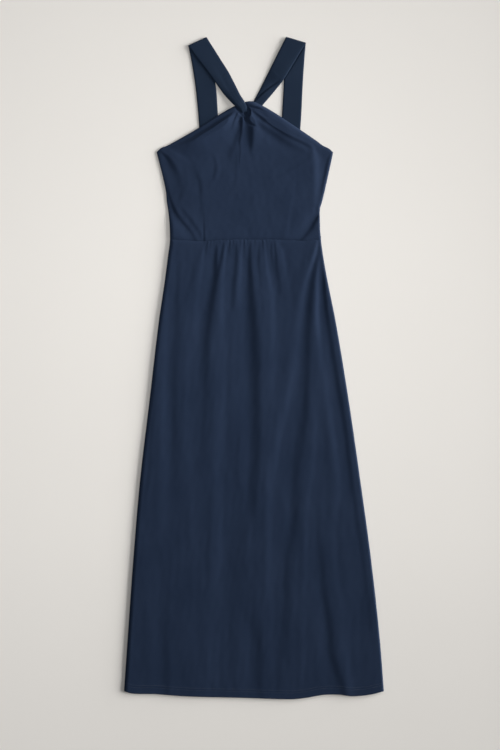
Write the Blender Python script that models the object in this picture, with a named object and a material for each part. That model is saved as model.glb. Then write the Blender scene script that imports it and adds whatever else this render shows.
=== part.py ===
"""A halter dress with a twisted neck, laid out flat on a surface with its front up.

Frame: +Z up, +Y towards the neck, +X to the right as the laid dress is looked down on.
The origin is the middle of its footprint, on the surface. Sizes are in millimetres until a mesh is made.
The back panels lie flat on the surface, and the front panels lie over them as a shallow crowned wall
whose sides turn down to the side seams. Each strap is one doubled band, folded over at the shoulder:
its back leg runs down to the back panel and its front leg runs in to the twist.
"""

from collections import namedtuple

import bpy
import numpy as np

MM = 0.001

# Driving sizes.
LENGTH = 1400.0  # shoulder fold to hem
HEM_WIDTH = 549.0
CLOTH = 1.2  # one layer of jersey
BAND = 2.0  # a strap, which is doubled
BAND_EDGE = 1.3  # a strap at its folded edges
SEAM_GAP = 0.3
CROWN = 6.0  # height of the front panels between their folds
SIDE_ROUND = 10.0  # how far in from a side seam the front turns down
NECK_ROUND = 7.0
HEM_DEPTH = 16.0  # turned-up hem, down from its stitching
HEM_RISE = 0.7  # the second layer in the hem
HEM_DROP = 2.0  # the hem lies lower than the rest of the front
BACK_SHORT = 2.0  # how much shorter the back hangs
SEAM_DITCH = 1.4  # how far the waist seam pulls the front down
DITCH_REACH = 5.0  # and how far to both sides
NECK_LEAN = 0.86  # the neckline runs aslant: this share of the way along Y is the way square to it
GATHER_HALF = 4.0  # half width of a gather's trough at the seam
GATHER_FADE = 0.6  # share of its run over which a gather fades
AIR = 0.1  # kept between the inner face and what it lies on

TOP = LENGTH / 2
HALF_HEM = HEM_WIDTH / 2
WAIST = 271.0
UNDERARM = 456.0
SIDE_HEM = -683.0
FRONT_SEAT = CLOTH + SEAM_GAP  # where the front ends at a side seam
STRAP_SEAT = BAND + SEAM_GAP  # the least room under the front where a strap may pass
STRAP_ROOM = (452.0, 466.0)  # the front's seat rises to the straps' between these
HEM_FALL = -600.0  # below this the front comes down towards the hem

NAVY = (0.018, 0.030, 0.056, 1.0)

# The laid dress's side edges, from hem to underarm.
Side = namedtuple("Side", "y left right")
SIDES = [
    Side(SIDE_HEM, -HALF_HEM, HALF_HEM),
    Side(-575.0, -267.0, 266.0),
    Side(-406.0, -255.0, 247.5),
    Side(-237.0, -240.5, 224.5),
    Side(-68.0, -220.5, 200.0),
    Side(101.0, -200.5, 172.0),
    Side(186.0, -188.0, 155.0),
    Side(237.0, -181.5, 146.0),
    Side(WAIST, -177.5, 141.5),
    Side(305.0, -178.5, 139.5),
    Side(338.0, -182.0, 139.8),
    Side(350.0, -184.0, 143.6),
    Side(372.0, -186.0, 149.0),
    Side(406.0, -193.0, 156.5),
    Side(440.0, -201.5, 164.0),
    Side(UNDERARM, -205.5, 167.0),
]

Point = namedtuple("Point", "x y")

# The waist seam, which dips a little beside the gathers.
WAIST_SEAM = [
    Point(-178.0, 272.0),
    Point(-140.0, 269.0),
    Point(-106.0, 267.5),
    Point(-78.0, 269.5),
    Point(-20.0, 271.0),
    Point(45.0, 271.0),
    Point(98.0, 268.5),
    Point(142.0, 271.5),
]

# The front's upper edge, from underarm to underarm over the twist.
NECKLINE = [
    Point(-205.5, 456.0),
    Point(-197.0, 464.0),
    Point(-184.0, 469.2),
    Point(-172.0, 475.6),
    Point(-122.0, 504.0),
    Point(-71.0, 536.5),
    Point(-45.0, 551.2),
    Point(-22.0, 561.0),
    Point(-6.0, 563.5),
    Point(12.0, 557.0),
    Point(31.0, 547.0),
    Point(81.0, 514.4),
    Point(132.0, 480.0),
    Point(146.0, 469.6),
    Point(159.0, 463.0),
    Point(167.0, 456.0),
]

# The back's upper edge, which the front hides.
BACK_EDGE = [
    Point(-205.5, 455.0),
    Point(-150.0, 464.0),
    Point(-114.0, 470.0),
    Point(-71.0, 470.0),
    Point(-8.0, 464.0),
    Point(55.0, 470.0),
    Point(95.0, 470.0),
    Point(130.0, 464.0),
    Point(167.0, 455.0),
]

# The hem edge of the front, as a share of its width from left to right.
Hem = namedtuple("Hem", "share y")
HEM = [
    Hem(0.0, -683.0),
    Hem(0.03, -687.5),
    Hem(0.12, -689.0),
    Hem(0.23, -693.5),
    Hem(0.46, -697.0),
    Hem(0.645, -TOP),
    Hem(0.70, -697.0),
    Hem(0.77, -690.5),
    Hem(0.82, -690.0),
    Hem(0.88, -693.5),
    Hem(0.95, -690.0),
    Hem(1.0, -683.0),
]

# Gathers along the waist seam of the skirt: where a trough starts, how far down it runs and how deep it is.
Gather = namedtuple("Gather", "x reach depth")
GATHERS = [
    Gather(-96.5, 30.0, 1.8),
    Gather(-90.0, 34.0, 1.8),
    Gather(-84.0, 30.0, 1.6),
    Gather(-77.5, 70.0, 2.4),
    Gather(-69.5, 32.0, 1.6),
    Gather(-62.0, 90.0, 2.6),
    Gather(-53.0, 34.0, 1.8),
    Gather(-46.5, 40.0, 1.8),
    Gather(-35.5, 70.0, 2.4),
    Gather(-28.5, 30.0, 1.6),
    Gather(-21.5, 38.0, 2.0),
    Gather(-7.0, 110.0, 2.8),
    Gather(2.0, 34.0, 1.6),
    Gather(10.0, 48.0, 2.0),
    Gather(18.5, 30.0, 1.8),
    Gather(28.5, 38.0, 1.8),
    Gather(38.0, 44.0, 2.0),
    Gather(44.5, 60.0, 2.2),
]

# A fold's line passes through three points. A crease is a ridge, or a trough where its height is negative.
# A step lifts the cloth to the left of its line. Half width and height change along the line.
Fold = namedtuple("Fold", "name kind x0 y0 x1 y1 x2 y2 wide0 wide2 high0 high1 high2")
SKIRT_FOLDS = [
    Fold("left_of_centre", "crease", -62, 262, -84, 160, -104, -104, 6, 15, -2.5, -3.0, -1.0),
    Fold("centre", "crease", -7, 266, -1, 100, 5, -85, 5, 12, -3.0, -3.2, -2.0),
    Fold("centre_low", "crease", 5, -85, 3, -280, -5, -512, 12, 18, -2.0, -2.0, -1.2),
    Fold("short_left", "crease", -36, 258, -40, 190, -44, 122, 5, 8, -2.0, -2.0, -0.5),
    Fold("short_right", "crease", 44, 258, 50, 218, 60, 170, 4, 7, -1.8, -1.5, -0.3),
    Fold("left_slope", "crease", -107, 254, -126, 198, -146, 130, 9, 14, 1.2, 1.8, 0.6),
    Fold("left_long", "crease", -162, 200, -162, 40, -172, -190, 9, 14, -1.0, -2.4, -1.6),
    Fold("left_side_low", "crease", -206, -310, -196, -450, -187, -640, 9, 14, -1.0, -2.0, -1.8),
    Fold("left_middle_low", "crease", -146, -240, -146, -320, -140, -400, 9, 12, -0.5, -1.2, -0.5),
    Fold("left_crest_low", "crease", -66, -160, -74, -380, -82, -560, 18, 22, 1.0, 1.6, 0.8),
    Fold("right_crest", "crease", 138, 256, 96, 60, 38, -180, 6, 16, 1.6, 2.6, 1.6),
    Fold("right_crest_low", "crease", 38, -180, 35, -380, 36, -640, 16, 18, 1.6, 1.8, 1.0),
    Fold("right_trough", "crease", 131, 224, 116, 20, 88, -210, 7, 14, -2.0, -3.4, -2.6),
    Fold("right_trough_low", "crease", 88, -210, 74, -370, 64, -600, 13, 16, -2.6, -2.4, -1.2),
    Fold("outer_crest", "crease", 142, 248, 136, 60, 122, -180, 5, 15, 1.0, 2.4, 1.8),
    Fold("outer_crest_low", "crease", 122, -180, 110, -330, 104, -520, 15, 18, 1.8, 1.8, 1.0),
    Fold("right_side_high", "crease", 150, 160, 172, 25, 206, -180, 6, 8, -1.6, -2.4, -2.2),
    Fold("right_side_low", "crease", 206, -180, 230, -375, 253, -580, 8, 10, -2.2, -2.0, -1.4),
    Fold("right_hem", "crease", 130, -280, 153, -470, 188, -690, 8, 14, -0.8, -3.2, -3.8),
]
BODICE_FOLDS = [
    Fold("left_neck_crease", "crease", -36, 543, -100, 506, -172, 465, 5, 6, -2.4, -2.4, -0.6),
    Fold("right_neck_crease", "crease", 0, 541, 58, 503, 120, 466, 5, 7, -2.4, -2.4, -0.8),
    Fold("left_neck_roll", "crease", -60, 538, -110, 508, -165, 475, 6, 7, 1.2, 1.4, 0.5),
    Fold("right_neck_roll", "crease", 18, 546, 70, 513, 130, 474, 6, 8, 1.6, 1.8, 1.0),
    Fold("right_neck_shade", "crease", 30, 508, 70, 482, 112, 462, 12, 12, -1.0, -1.2, -0.6),
    Fold("centre_left_trough", "crease", -26, 530, -27, 498, -27, 462, 5, 6, -2.4, -2.2, -0.8),
    Fold("centre_right_trough", "crease", -7, 512, -6, 488, -5, 460, 6, 7, -2.4, -2.2, -0.8),
    Fold("twist_lobe", "crease", -8, 540, 0, 526, 14, 514, 6, 8, 2.2, 2.4, 0.8),
    Fold("left_side_step", "step", -133, 272, -152, 306, -181, 368, 4, 3, -2.6, -3.2, -2.4),
    Fold("right_side_step", "step", 139, 324, 120, 296, 100, 272, 3, 4, -2.8, -3.0, -2.0),
    Fold("left_dart", "crease", -107, 272, -112, 350, -125, 431, 5, 4, -1.2, -1.0, -0.3),
    Fold("right_dart", "crease", 73, 272, 79, 350, 90, 429, 5, 4, -0.9, -0.7, -0.2),
    Fold("left_underarm", "crease", -189, 452, -177, 429, -162, 405, 6, 8, -1.6, -1.6, -0.3),
    Fold("left_waist_fold", "crease", -152, 332, -128, 300, -108, 275, 6, 6, -0.6, -1.4, -1.4),
    Fold("right_diagonal", "crease", 106, 436, 75, 419, 44, 400, 7, 9, -0.6, -1.2, -0.3),
    Fold("right_side_crest", "crease", 121, 470, 126, 418, 133, 370, 9, 9, 1.2, 1.5, 0.6),
]

# The twist: the left strap crosses the gathered top of the front and dives into a hollow below it.
CROSSING = (Point(-33.0, 558.0), Point(-20.0, 541.0))
CROSSING_CAP = 4.4
CROSSING_REACH = (12.0, 24.0)  # full up to the first distance and gone at the second
HOLLOW = Point(-19.0, 536.0)
HOLLOW_CAP = 1.8
HOLLOW_REACH = (6.0, 15.0)
HOLLOW_SLOPE = (12.0, 26.0)
FREE = 6.0  # how far a cap opens beyond its reach

# Sections of a strap, from the back panel up to the shoulder fold and from there in to the twist.
# (x0, y0) is its outer edge and (x1, y1) its inner edge, under0 and under1 the height of its lower face
# there, and arch how far its middle is lifted.
Band = namedtuple("Band", "x0 y0 x1 y1 under0 under1 arch")
LEFT_BACK = [
    Band(-113.5, 470.6, -71.5, 470.6, 0.0, 0.0, 0.0),
    Band(-117.9, 536.8, -76.2, 536.8, 0.0, 0.0, 0.0),
    Band(-123.4, 591.8, -80.2, 591.8, 0.0, 0.0, 0.0),
    Band(-131.5, 645.0, -90.0, 653.0, 0.0, 0.0, 0.0),
]
LEFT_FOLD = (Point(-138.4, 679.2), Point(-99.4, 697.4))
LEFT_FRONT = [
    Band(-120.8, 655.5, -85.4, 675.5, 2.3, 2.0, 0.2),
    Band(-101.0, 630.0, -69.6, 650.5, 2.3, 1.6, 0.4),
    Band(-82.0, 603.8, -53.8, 625.6, 2.2, 1.2, 0.8),
    Band(-64.2, 579.0, -38.5, 596.0, 1.8, 1.6, 1.6),
    Band(-49.2, 562.0, -29.0, 577.0, 3.6, 3.4, 2.4),
    Band(-39.0, 552.0, -20.0, 562.5, 4.8, 4.8, 2.8),
    Band(-30.5, 544.5, -14.5, 550.5, 4.8, 4.8, 2.4),
    Band(-25.5, 538.5, -15.0, 540.5, 3.0, 3.0, 1.0),
]
RIGHT_BACK = [
    Band(95.6, 470.6, 55.4, 470.6, 0.0, 0.0, 0.0),
    Band(100.2, 536.8, 59.2, 536.8, 0.0, 0.0, 0.0),
    Band(102.8, 592.0, 62.4, 592.0, 0.0, 0.0, 0.0),
    Band(106.2, 645.0, 64.5, 650.0, 0.0, 0.0, 0.0),
]
RIGHT_FOLD = (Point(109.4, 685.2), Point(67.2, 697.9))
RIGHT_FRONT = [
    Band(93.7, 659.6, 57.0, 678.0, 2.3, 2.0, 0.2),
    Band(78.0, 634.0, 46.0, 656.0, 2.3, 1.6, 0.4),
    Band(62.5, 608.6, 35.0, 634.0, 2.3, 0.8, 0.6),
    Band(48.5, 591.0, 23.0, 610.0, 0.4, 0.0, 1.0),
    Band(34.0, 573.5, 11.5, 587.0, 0.0, 0.0, 1.4),
    Band(21.0, 558.5, 1.0, 567.0, 0.0, 0.0, 0.4),
    Band(12.0, 547.0, -5.0, 555.0, 0.0, 0.0, 0.0),
]
CORNER_DROP = 0.4  # how far the inner face is drawn down at an underarm corner, in cloth thicknesses
BACK_COLUMNS = 17
BACK_SKIRT_ROWS = 13
BACK_BODICE_ROWS = 8
BODICE_COLUMNS = 31
BODICE_ROWS = 12
BAND_COLUMNS = 7
FOLD_STEPS = 4  # sections between the two sides of the shoulder fold
LINE_STEPS = 17  # points along the line of a fold

# Distances in from an edge at which a front panel has its columns or rows.
EDGE_COLUMNS = (0.0, 0.8, 2.6, 5.6, 10.0, 17.0, 26.0, 38.0)
NECK_ROWS = (0.0, 0.8, 2.4, 5.0, 9.0, 14.0, 20.0, 28.0)
SEAM_ROWS = (0.0, 4.0, 11.0)
SKIRT_ROWS = (
    *(0.0, 5.0, 12.0, 24.0, 40.0, 62.0, 90.0, 130.0, 185.0),
    *(250.0, 325.0, 410.0, 500.0, 590.0, 680.0, 765.0, 850.0),
)
HEM_ROWS = (HEM_DEPTH + 2.0, HEM_DEPTH, 0.0)  # up from the hem edge


def smooth(at, xs, ys):
    """A curve through the points (xs, ys) without overshoot, read at the given places."""
    xs, ys, at = np.asarray(xs, float), np.asarray(ys, float), np.asarray(at, float)
    steps = np.diff(xs)
    rises = np.diff(ys) / steps
    slopes = np.concatenate([rises[:1], (rises[:-1] + rises[1:]) / 2, rises[-1:]])
    slopes[1:-1][rises[:-1] * rises[1:] <= 0] = 0.0
    at = np.clip(at, xs[0], xs[-1])
    i = np.clip(np.searchsorted(xs, at, side="right") - 1, 0, len(steps) - 1)
    t = (at - xs[i]) / steps[i]
    start = ys[i] * (1 + 2 * t) * (1 - t) ** 2 + steps[i] * slopes[i] * t * (1 - t) ** 2
    end = ys[i + 1] * t**2 * (3 - 2 * t) - steps[i] * slopes[i + 1] * t**2 * (1 - t)
    return start + end


def ramp(value, low, high):
    """0 below low and 1 above high, with a soft change between them."""
    t = np.clip((value - low) / (high - low), 0.0, 1.0)
    return t * t * (3 - 2 * t)


def side_edges(y):
    """The left and right edge of the laid dress at a height y."""
    ys = [row.y for row in SIDES]
    return smooth(y, ys, [row.left for row in SIDES]), smooth(y, ys, [row.right for row in SIDES])


def read_edge(table, x):
    return smooth(x, [point.x for point in table], [point.y for point in table])


def fold_height(fold, x, y):
    """How far one fold lifts the cloth at the points (x, y)."""
    t = np.linspace(0.0, 1.0, LINE_STEPS)[:, None]
    start, middle, end = np.array([[fold.x0, fold.y0], [fold.x1, fold.y1], [fold.x2, fold.y2]], float)
    line = start * (1 - t) * (1 - 2 * t) + middle * 4 * t * (1 - t) + end * t * (2 * t - 1)
    best = np.full(x.shape, np.inf)
    along = np.zeros(x.shape)
    left = np.ones(x.shape)
    for i, (here, after) in enumerate(zip(line[:-1], line[1:])):
        run = after - here
        share = np.clip(((x - here[0]) * run[0] + (y - here[1]) * run[1]) / (run @ run), 0.0, 1.0)
        dx, dy = x - here[0] - share * run[0], y - here[1] - share * run[1]
        away = np.hypot(dx, dy)
        nearer = away < best
        best = np.where(nearer, away, best)
        along = np.where(nearer, (i + share) / (len(line) - 1), along)
        left = np.where(nearer, np.sign(run[0] * dy - run[1] * dx), left)
    wide = fold.wide0 + (fold.wide2 - fold.wide0) * along
    high = smooth(along, [0.0, 0.5, 1.0], [fold.high0, fold.high1, fold.high2])
    if fold.kind == "crease":
        return high * np.exp(-((best / wide) ** 2))
    lifted = 1 / (1 + np.exp(-2.0 * left * best / wide))
    ends = ramp(along, 0.0, 0.04) * ramp(1 - along, 0.0, 0.04)
    return high * lifted * ends * np.exp(-((best / (7.0 * wide)) ** 2))


def folds_height(folds, x, y):
    return sum(fold_height(fold, x, y) for fold in folds)


def panel_columns(inner, left, right):
    """X places along a row: the columns near each side edge and the inner shares between them."""
    edge = np.array(EDGE_COLUMNS)
    first, last = left + edge[-1], right - edge[-1]
    return np.concatenate([left + edge[:-1], first + inner * (last - first), right - edge[-2::-1]])


def rounded(inward, radius):
    """How far up a quarter round the cloth is at a distance in from an edge."""
    share = np.clip(1 - inward / radius, 0.0, 1.0)
    return np.sqrt(1 - share**2)


def inner_waist():
    """The gathered part of the waist seam lies between these, inside the edge columns."""
    left, right = side_edges(WAIST)
    return float(left) + EDGE_COLUMNS[-1], float(right) - EDGE_COLUMNS[-1]


def gather_shares():
    """Inner columns of the front skirt: one for each trough and crest, and plain ones beside the gathers."""
    first, last = inner_waist()
    troughs = np.array([gather.x for gather in GATHERS])
    crests = (troughs[:-1] + troughs[1:]) / 2
    gathered = np.sort(np.concatenate([troughs, crests, [troughs[0] - 4.0, troughs[-1] + 4.0]]))
    left_plain = np.linspace(first, gathered[0], 4)[:-1]
    right_plain = np.linspace(gathered[-1], last, 5)[1:]
    return (np.concatenate([left_plain, gathered, right_plain]) - first) / (last - first)


def gather_height(share, below):
    """Lift of the gathers at an inner share of the width and a distance below the waist seam."""
    first, last = inner_waist()
    x = first + share * (last - first)
    lift = np.zeros(x.shape)
    for here, after in zip(GATHERS[:-1], GATHERS[1:]):
        half = (after.x - here.x) / 2
        reach, depth = (here.reach + after.reach) / 2, (here.depth + after.depth) / 2
        fade = np.exp(-below / (GATHER_FADE * reach))
        lift += depth / 2 * fade * np.clip(1 - np.abs(x - here.x - half) / half, 0, 1)
    for gather in GATHERS:
        fade = np.exp(-below / (GATHER_FADE * gather.reach))
        lift -= gather.depth / 2 * fade * np.clip(1 - np.abs(x - gather.x) / GATHER_HALF, 0, 1)
    return lift


def front_skirt_points():
    """Outer points of the front skirt, rows from the hem up to the waist seam."""
    shares = gather_shares()
    waist_left, waist_right = side_edges(WAIST)
    rows = []
    for distance in SKIRT_ROWS + HEM_ROWS:
        at_hem = distance in HEM_ROWS and len(rows) >= len(SKIRT_ROWS)
        left, right = side_edges(SIDE_HEM + distance if at_hem else WAIST - distance)
        x = panel_columns(shares, left, right)
        share = (x - left) / (right - left)
        hem = smooth(share, [point.share for point in HEM], [point.y for point in HEM])
        top = read_edge(WAIST_SEAM, waist_left + share * (waist_right - waist_left)) - SEAM_GAP / 2
        down = distance / (WAIST - SIDE_HEM)
        y = hem + distance if at_hem else top + (hem - top) * down
        rows.append(np.stack([x, y, np.zeros(x.shape)], axis=1))
    points = np.array(rows[::-1])
    x, y = points[..., 0], points[..., 1]
    left, right = x[:, :1], x[:, -1:]
    below = y[-1:] - y
    inner = np.clip((x - left - EDGE_COLUMNS[-1]) / (right - left - 2 * EDGE_COLUMNS[-1]), 0, 1)
    height = CROWN + folds_height(SKIRT_FOLDS, x, y) + gather_height(inner, below)
    height -= SEAM_DITCH * np.exp(-below / DITCH_REACH)
    height -= HEM_DROP * ramp(y, HEM_FALL, -TOP)
    height[:2] += HEM_RISE
    height = np.maximum(height, FRONT_SEAT + CLOTH + AIR)
    turned = rounded(np.minimum(x - left, right - x), SIDE_ROUND)
    points[..., 2] = FRONT_SEAT + (height - FRONT_SEAT) * turned
    return points


def twist_limit(x, y):
    """How high the front may lie where the left strap crosses it."""
    start, end = (np.array(point) for point in CROSSING)
    run = end - start
    share = np.clip(((x - start[0]) * run[0] + (y - start[1]) * run[1]) / (run @ run), 0.0, 1.0)
    away = np.hypot(x - start[0] - share * run[0], y - start[1] - share * run[1])
    from_hollow = np.hypot(x - HOLLOW.x, y - HOLLOW.y)
    crossing = CROSSING_CAP + FREE * ramp(away, *CROSSING_REACH)
    hollow = HOLLOW_CAP + (CROSSING_CAP - HOLLOW_CAP) * ramp(from_hollow, *HOLLOW_REACH)
    return np.minimum(crossing, hollow + FREE * ramp(from_hollow, *HOLLOW_SLOPE))


def cloth_material():
    material = bpy.data.materials.new("navy_jersey")
    material.use_nodes = True
    shader = material.node_tree.nodes["Principled BSDF"]
    shader.inputs["Base Color"].default_value = NAVY
    shader.inputs["Roughness"].default_value = 0.85
    shader.inputs["Metallic"].default_value = 0.0
    return material


def front_bodice_points():
    """Outer points of the front bodice, rows from the waist seam up to the neckline."""
    inner = np.linspace(0.0, 1.0, BODICE_COLUMNS)
    waist_left, waist_right = side_edges(WAIST)
    bottom_x = panel_columns(inner, waist_left, waist_right)
    top_x = panel_columns(inner, SIDES[-1].left, SIDES[-1].right)
    share = (bottom_x - waist_left) / (waist_right - waist_left)
    bottom = read_edge(WAIST_SEAM, bottom_x) + SEAM_GAP / 2
    top = read_edge(NECKLINE, top_x)
    tall = top - bottom
    ups = [distance / tall for distance in SEAM_ROWS]
    ups += [up * (1 - NECK_ROWS[-1] / tall) for up in np.linspace(1 / BODICE_ROWS, 1.0, BODICE_ROWS)[:-1]]
    ups += [1 - distance / tall for distance in NECK_ROWS[::-1]]
    rows = []
    for up in ups:
        left, right = side_edges(WAIST + up * (UNDERARM - WAIST))
        straight_left = waist_left + up * (SIDES[-1].left - waist_left)
        straight_right = waist_right + up * (SIDES[-1].right - waist_right)
        x = bottom_x + up * (top_x - bottom_x)
        x += (left - straight_left) * (1 - share) + (right - straight_right) * share
        rows.append(np.stack([x, bottom + up * tall, np.zeros(x.shape)], axis=1))
    points = np.array(rows)
    x, y = points[..., 0], points[..., 1]
    seat = bodice_seat(x, y)
    height = CROWN + folds_height(BODICE_FOLDS, x, y)
    height -= SEAM_DITCH * np.exp(-(y - y[:1]) / DITCH_REACH)
    height = np.minimum(height, twist_limit(x, y))
    height = np.maximum(height, seat + CLOTH + AIR)
    turned = rounded(np.minimum(x - x[:, :1], x[:, -1:] - x), SIDE_ROUND)
    turned = turned * rounded(NECK_LEAN * (y[-1:] - y), NECK_ROUND)
    points[..., 2] = seat + (height - seat) * turned
    return points


def bodice_seat(x, y):
    """The lowest that the front bodice may lie: over the back and straps, or in the twist's hollow."""
    over_straps = FRONT_SEAT + (STRAP_SEAT - FRONT_SEAT) * ramp(y, *STRAP_ROOM)
    return np.minimum(over_straps, twist_limit(x, y) - CLOTH - AIR)


def unit(vectors):
    return vectors / np.linalg.norm(vectors, axis=-1, keepdims=True)


def under_side(points, seat, open_rows):
    """The inner face of a front panel: a cloth's thickness inside, and level with the outer face at the
    edges that turn down. open_rows are rows whose wall ends upright, as at a seam or a hem."""
    across = np.gradient(points, axis=1)
    along = np.gradient(points, axis=0)
    inner = points - CLOTH * unit(np.cross(across, along))
    for row in open_rows:
        inner[row, :, 1] = points[row, :, 1]
    inward = np.zeros(points.shape)
    inward[:, 0, 0], inward[:, -1, 0] = 1.0, -1.0
    edge = np.zeros(points.shape[:2], bool)
    edge[:, [0, -1]] = True
    if len(open_rows) == 1:
        edge[-1] = True
        run = across[-1] * [1, 1, 0]
        inward[-1, 1:-1] = unit(np.stack([run[:, 1], -run[:, 0], 0 * run[:, 0]], axis=1))[1:-1]
        inward[-1, [0, -1], 1] = -CORNER_DROP
    inner[edge] = points[edge] + CLOTH * inward[edge]
    inner[..., 2] = np.maximum(inner[..., 2], np.minimum(seat, points[..., 2]))
    return inner


def wall(name, upper, lower, material):
    """A closed wall between two grids of points of the same size, rows along +Y and columns along +X.
    Both faces split each square along the same diagonal, so that the wall keeps its thickness: the more
    level one, and at a corner of the wall the one that runs into it."""
    rows, columns = upper.shape[:2]
    count = rows * columns
    points = np.concatenate([upper.reshape(-1, 3), lower.reshape(-1, 3)]) * MM
    at = np.arange(count).reshape(rows, columns)
    corners = {(0, 0): True, (0, columns - 2): False, (rows - 2, 0): False, (rows - 2, columns - 2): True}
    faces = []
    for i in range(rows - 1):
        for j in range(columns - 1):
            a, b, c, d = (int(k) for k in (at[i, j], at[i, j + 1], at[i + 1, j + 1], at[i + 1, j]))
            level = abs(points[a, 2] - points[c, 2]) < abs(points[b, 2] - points[d, 2])
            rising = corners.get((i, j), level)
            for triangle in ((a, b, c), (a, c, d)) if rising else ((a, b, d), (b, c, d)):
                faces.append(triangle)
                faces.append([k + count for k in reversed(triangle)])
    rim = [int(k) for k in (*at[0, :], *at[1:, -1], *at[-1, -2::-1], *at[-2:0:-1, 0])]
    for here, after in zip(rim, rim[1:] + rim[:1]):
        faces.append([after, here, here + count, after + count])
    mesh = bpy.data.meshes.new(name)
    mesh.from_pydata([tuple(point) for point in points], [], faces)
    mesh.materials.append(material)
    mesh.shade_smooth()
    mesh.set_sharp_from_angle(angle=np.radians(50))
    obj = bpy.data.objects.new(name, mesh)
    bpy.context.scene.collection.objects.link(obj)
    return obj


def plate(name, points, material):
    """A flat back panel, lying on the surface."""
    return wall(name, points + [0.0, 0.0, CLOTH], points, material)


def back_skirt_points():
    shares = np.linspace(0.0, 1.0, BACK_COLUMNS)
    waist_left, waist_right = side_edges(WAIST)
    top = read_edge(WAIST_SEAM, waist_left + shares * (waist_right - waist_left)) - SEAM_GAP / 2
    hem = smooth(shares, [point.share for point in HEM], [point.y for point in HEM]) + BACK_SHORT
    rows = []
    for up in np.linspace(0.0, 1.0, BACK_SKIRT_ROWS):
        left, right = side_edges(SIDE_HEM + up * (WAIST - SIDE_HEM))
        x = left + shares * (right - left)
        rows.append(np.stack([x, hem + up * (top - hem), np.zeros(x.shape)], axis=1))
    return np.array(rows)


def back_skirt(material):
    return plate("back_skirt", back_skirt_points(), material)


def back_bodice(material):
    shares = np.linspace(0.0, 1.0, BACK_COLUMNS)
    waist_left, waist_right = side_edges(WAIST)
    bottom = read_edge(WAIST_SEAM, waist_left + shares * (waist_right - waist_left)) + SEAM_GAP / 2
    top = read_edge(BACK_EDGE, SIDES[-1].left + shares * (SIDES[-1].right - SIDES[-1].left))
    rows = []
    for up in np.linspace(0.0, 1.0, BACK_BODICE_ROWS):
        left, right = side_edges(WAIST + up * (UNDERARM - WAIST))
        x = left + shares * (right - left)
        rows.append(np.stack([x, bottom + up * (top - bottom), np.zeros(x.shape)], axis=1))
    return plate("back_bodice", np.array(rows), material)


def strap(name, back, fold, front, mirrored, material):
    """One doubled band as a wall between its outer face and its inner face, folded over at the shoulder."""
    w = np.linspace(-1.0, 1.0, BAND_COLUMNS)
    share = ((w + 1) / 2)[:, None]
    thick = BAND_EDGE + (BAND - BAND_EDGE) * (1 - w**4)
    outer, inner = [], []

    def place(x0, y0, x1, y1):
        return np.array([[x0, y0]]) + share * (np.array([[x1, y1]]) - np.array([[x0, y0]]))

    for row in back:
        plan = place(*row[:4])
        outer.append(np.column_stack([plan, 0 * w]))
        inner.append(np.column_stack([plan, thick]))
    line = place(*fold[0], *fold[1])
    across = np.array([fold[1].x - fold[0].x, fold[1].y - fold[0].y])
    outward = np.array([-across[1], across[0]]) / np.hypot(*across)
    outward = outward if outward[1] > 0 else -outward
    middle = (BAND + STRAP_SEAT) / 2
    for turn in np.radians(np.linspace(-90.0, 90.0, FOLD_STEPS + 1)):
        for face, radius in ((outer, middle), (inner, middle - thick)):
            shift = (radius * np.cos(turn)) * np.ones(len(w))
            height = middle + (radius * np.sin(turn)) * np.ones(len(w))
            face.append(np.column_stack([line + shift[:, None] * outward, height]))
    for row in front:
        plan = place(*row[:4])
        under = row.under0 + share[:, 0] * (row.under1 - row.under0) + row.arch * (1 - w**2)
        outer.append(np.column_stack([plan, under + thick]))
        inner.append(np.column_stack([plan, under]))
    outer, inner = np.array(outer), np.array(inner)
    return wall(name, *((outer, inner) if mirrored else (inner, outer)), material)


def main():
    for obj in list(bpy.data.objects):
        bpy.data.objects.remove(obj)
    material = cloth_material()
    skirt = front_skirt_points()
    wall("front_skirt", skirt, under_side(skirt, FRONT_SEAT, (0, -1)), material)
    bodice = front_bodice_points()
    seat = bodice_seat(bodice[..., 0], bodice[..., 1])
    wall("front_bodice", bodice, under_side(bodice, seat, (0,)), material)
    back_skirt(material)
    back_bodice(material)
    strap("strap_left", LEFT_BACK, LEFT_FOLD, LEFT_FRONT, False, material)
    strap("strap_right", RIGHT_BACK, RIGHT_FOLD, RIGHT_FRONT, True, material)


main()
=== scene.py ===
"""Looks of a navy jersey halter dress, laid out flat on a pale surface and seen from straight above.

Lengths in the tables and in the shaping functions are millimetres, in the frame of the model: +X to the
right and +Y towards the neck as the laid front is looked down on, +Z up from the surface. They turn into
metres when a mesh is made. Every panel is a thin shell on the form of the solid that it stands for, and
every strap is a closed band.
"""

from collections import namedtuple

import bpy
import numpy as np
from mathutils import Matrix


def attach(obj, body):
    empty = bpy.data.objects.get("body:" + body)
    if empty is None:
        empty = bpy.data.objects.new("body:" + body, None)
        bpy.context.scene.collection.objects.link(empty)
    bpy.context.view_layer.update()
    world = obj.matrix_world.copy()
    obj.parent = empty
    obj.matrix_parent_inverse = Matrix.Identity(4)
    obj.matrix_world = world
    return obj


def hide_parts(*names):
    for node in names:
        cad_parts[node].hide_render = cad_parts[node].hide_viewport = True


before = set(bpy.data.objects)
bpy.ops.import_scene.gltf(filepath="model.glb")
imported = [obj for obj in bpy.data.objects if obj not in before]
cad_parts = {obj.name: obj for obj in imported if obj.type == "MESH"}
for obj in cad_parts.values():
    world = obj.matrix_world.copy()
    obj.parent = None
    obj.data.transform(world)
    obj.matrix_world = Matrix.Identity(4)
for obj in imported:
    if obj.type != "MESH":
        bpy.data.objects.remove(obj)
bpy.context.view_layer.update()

MM = 0.001
SEED = 7

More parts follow.
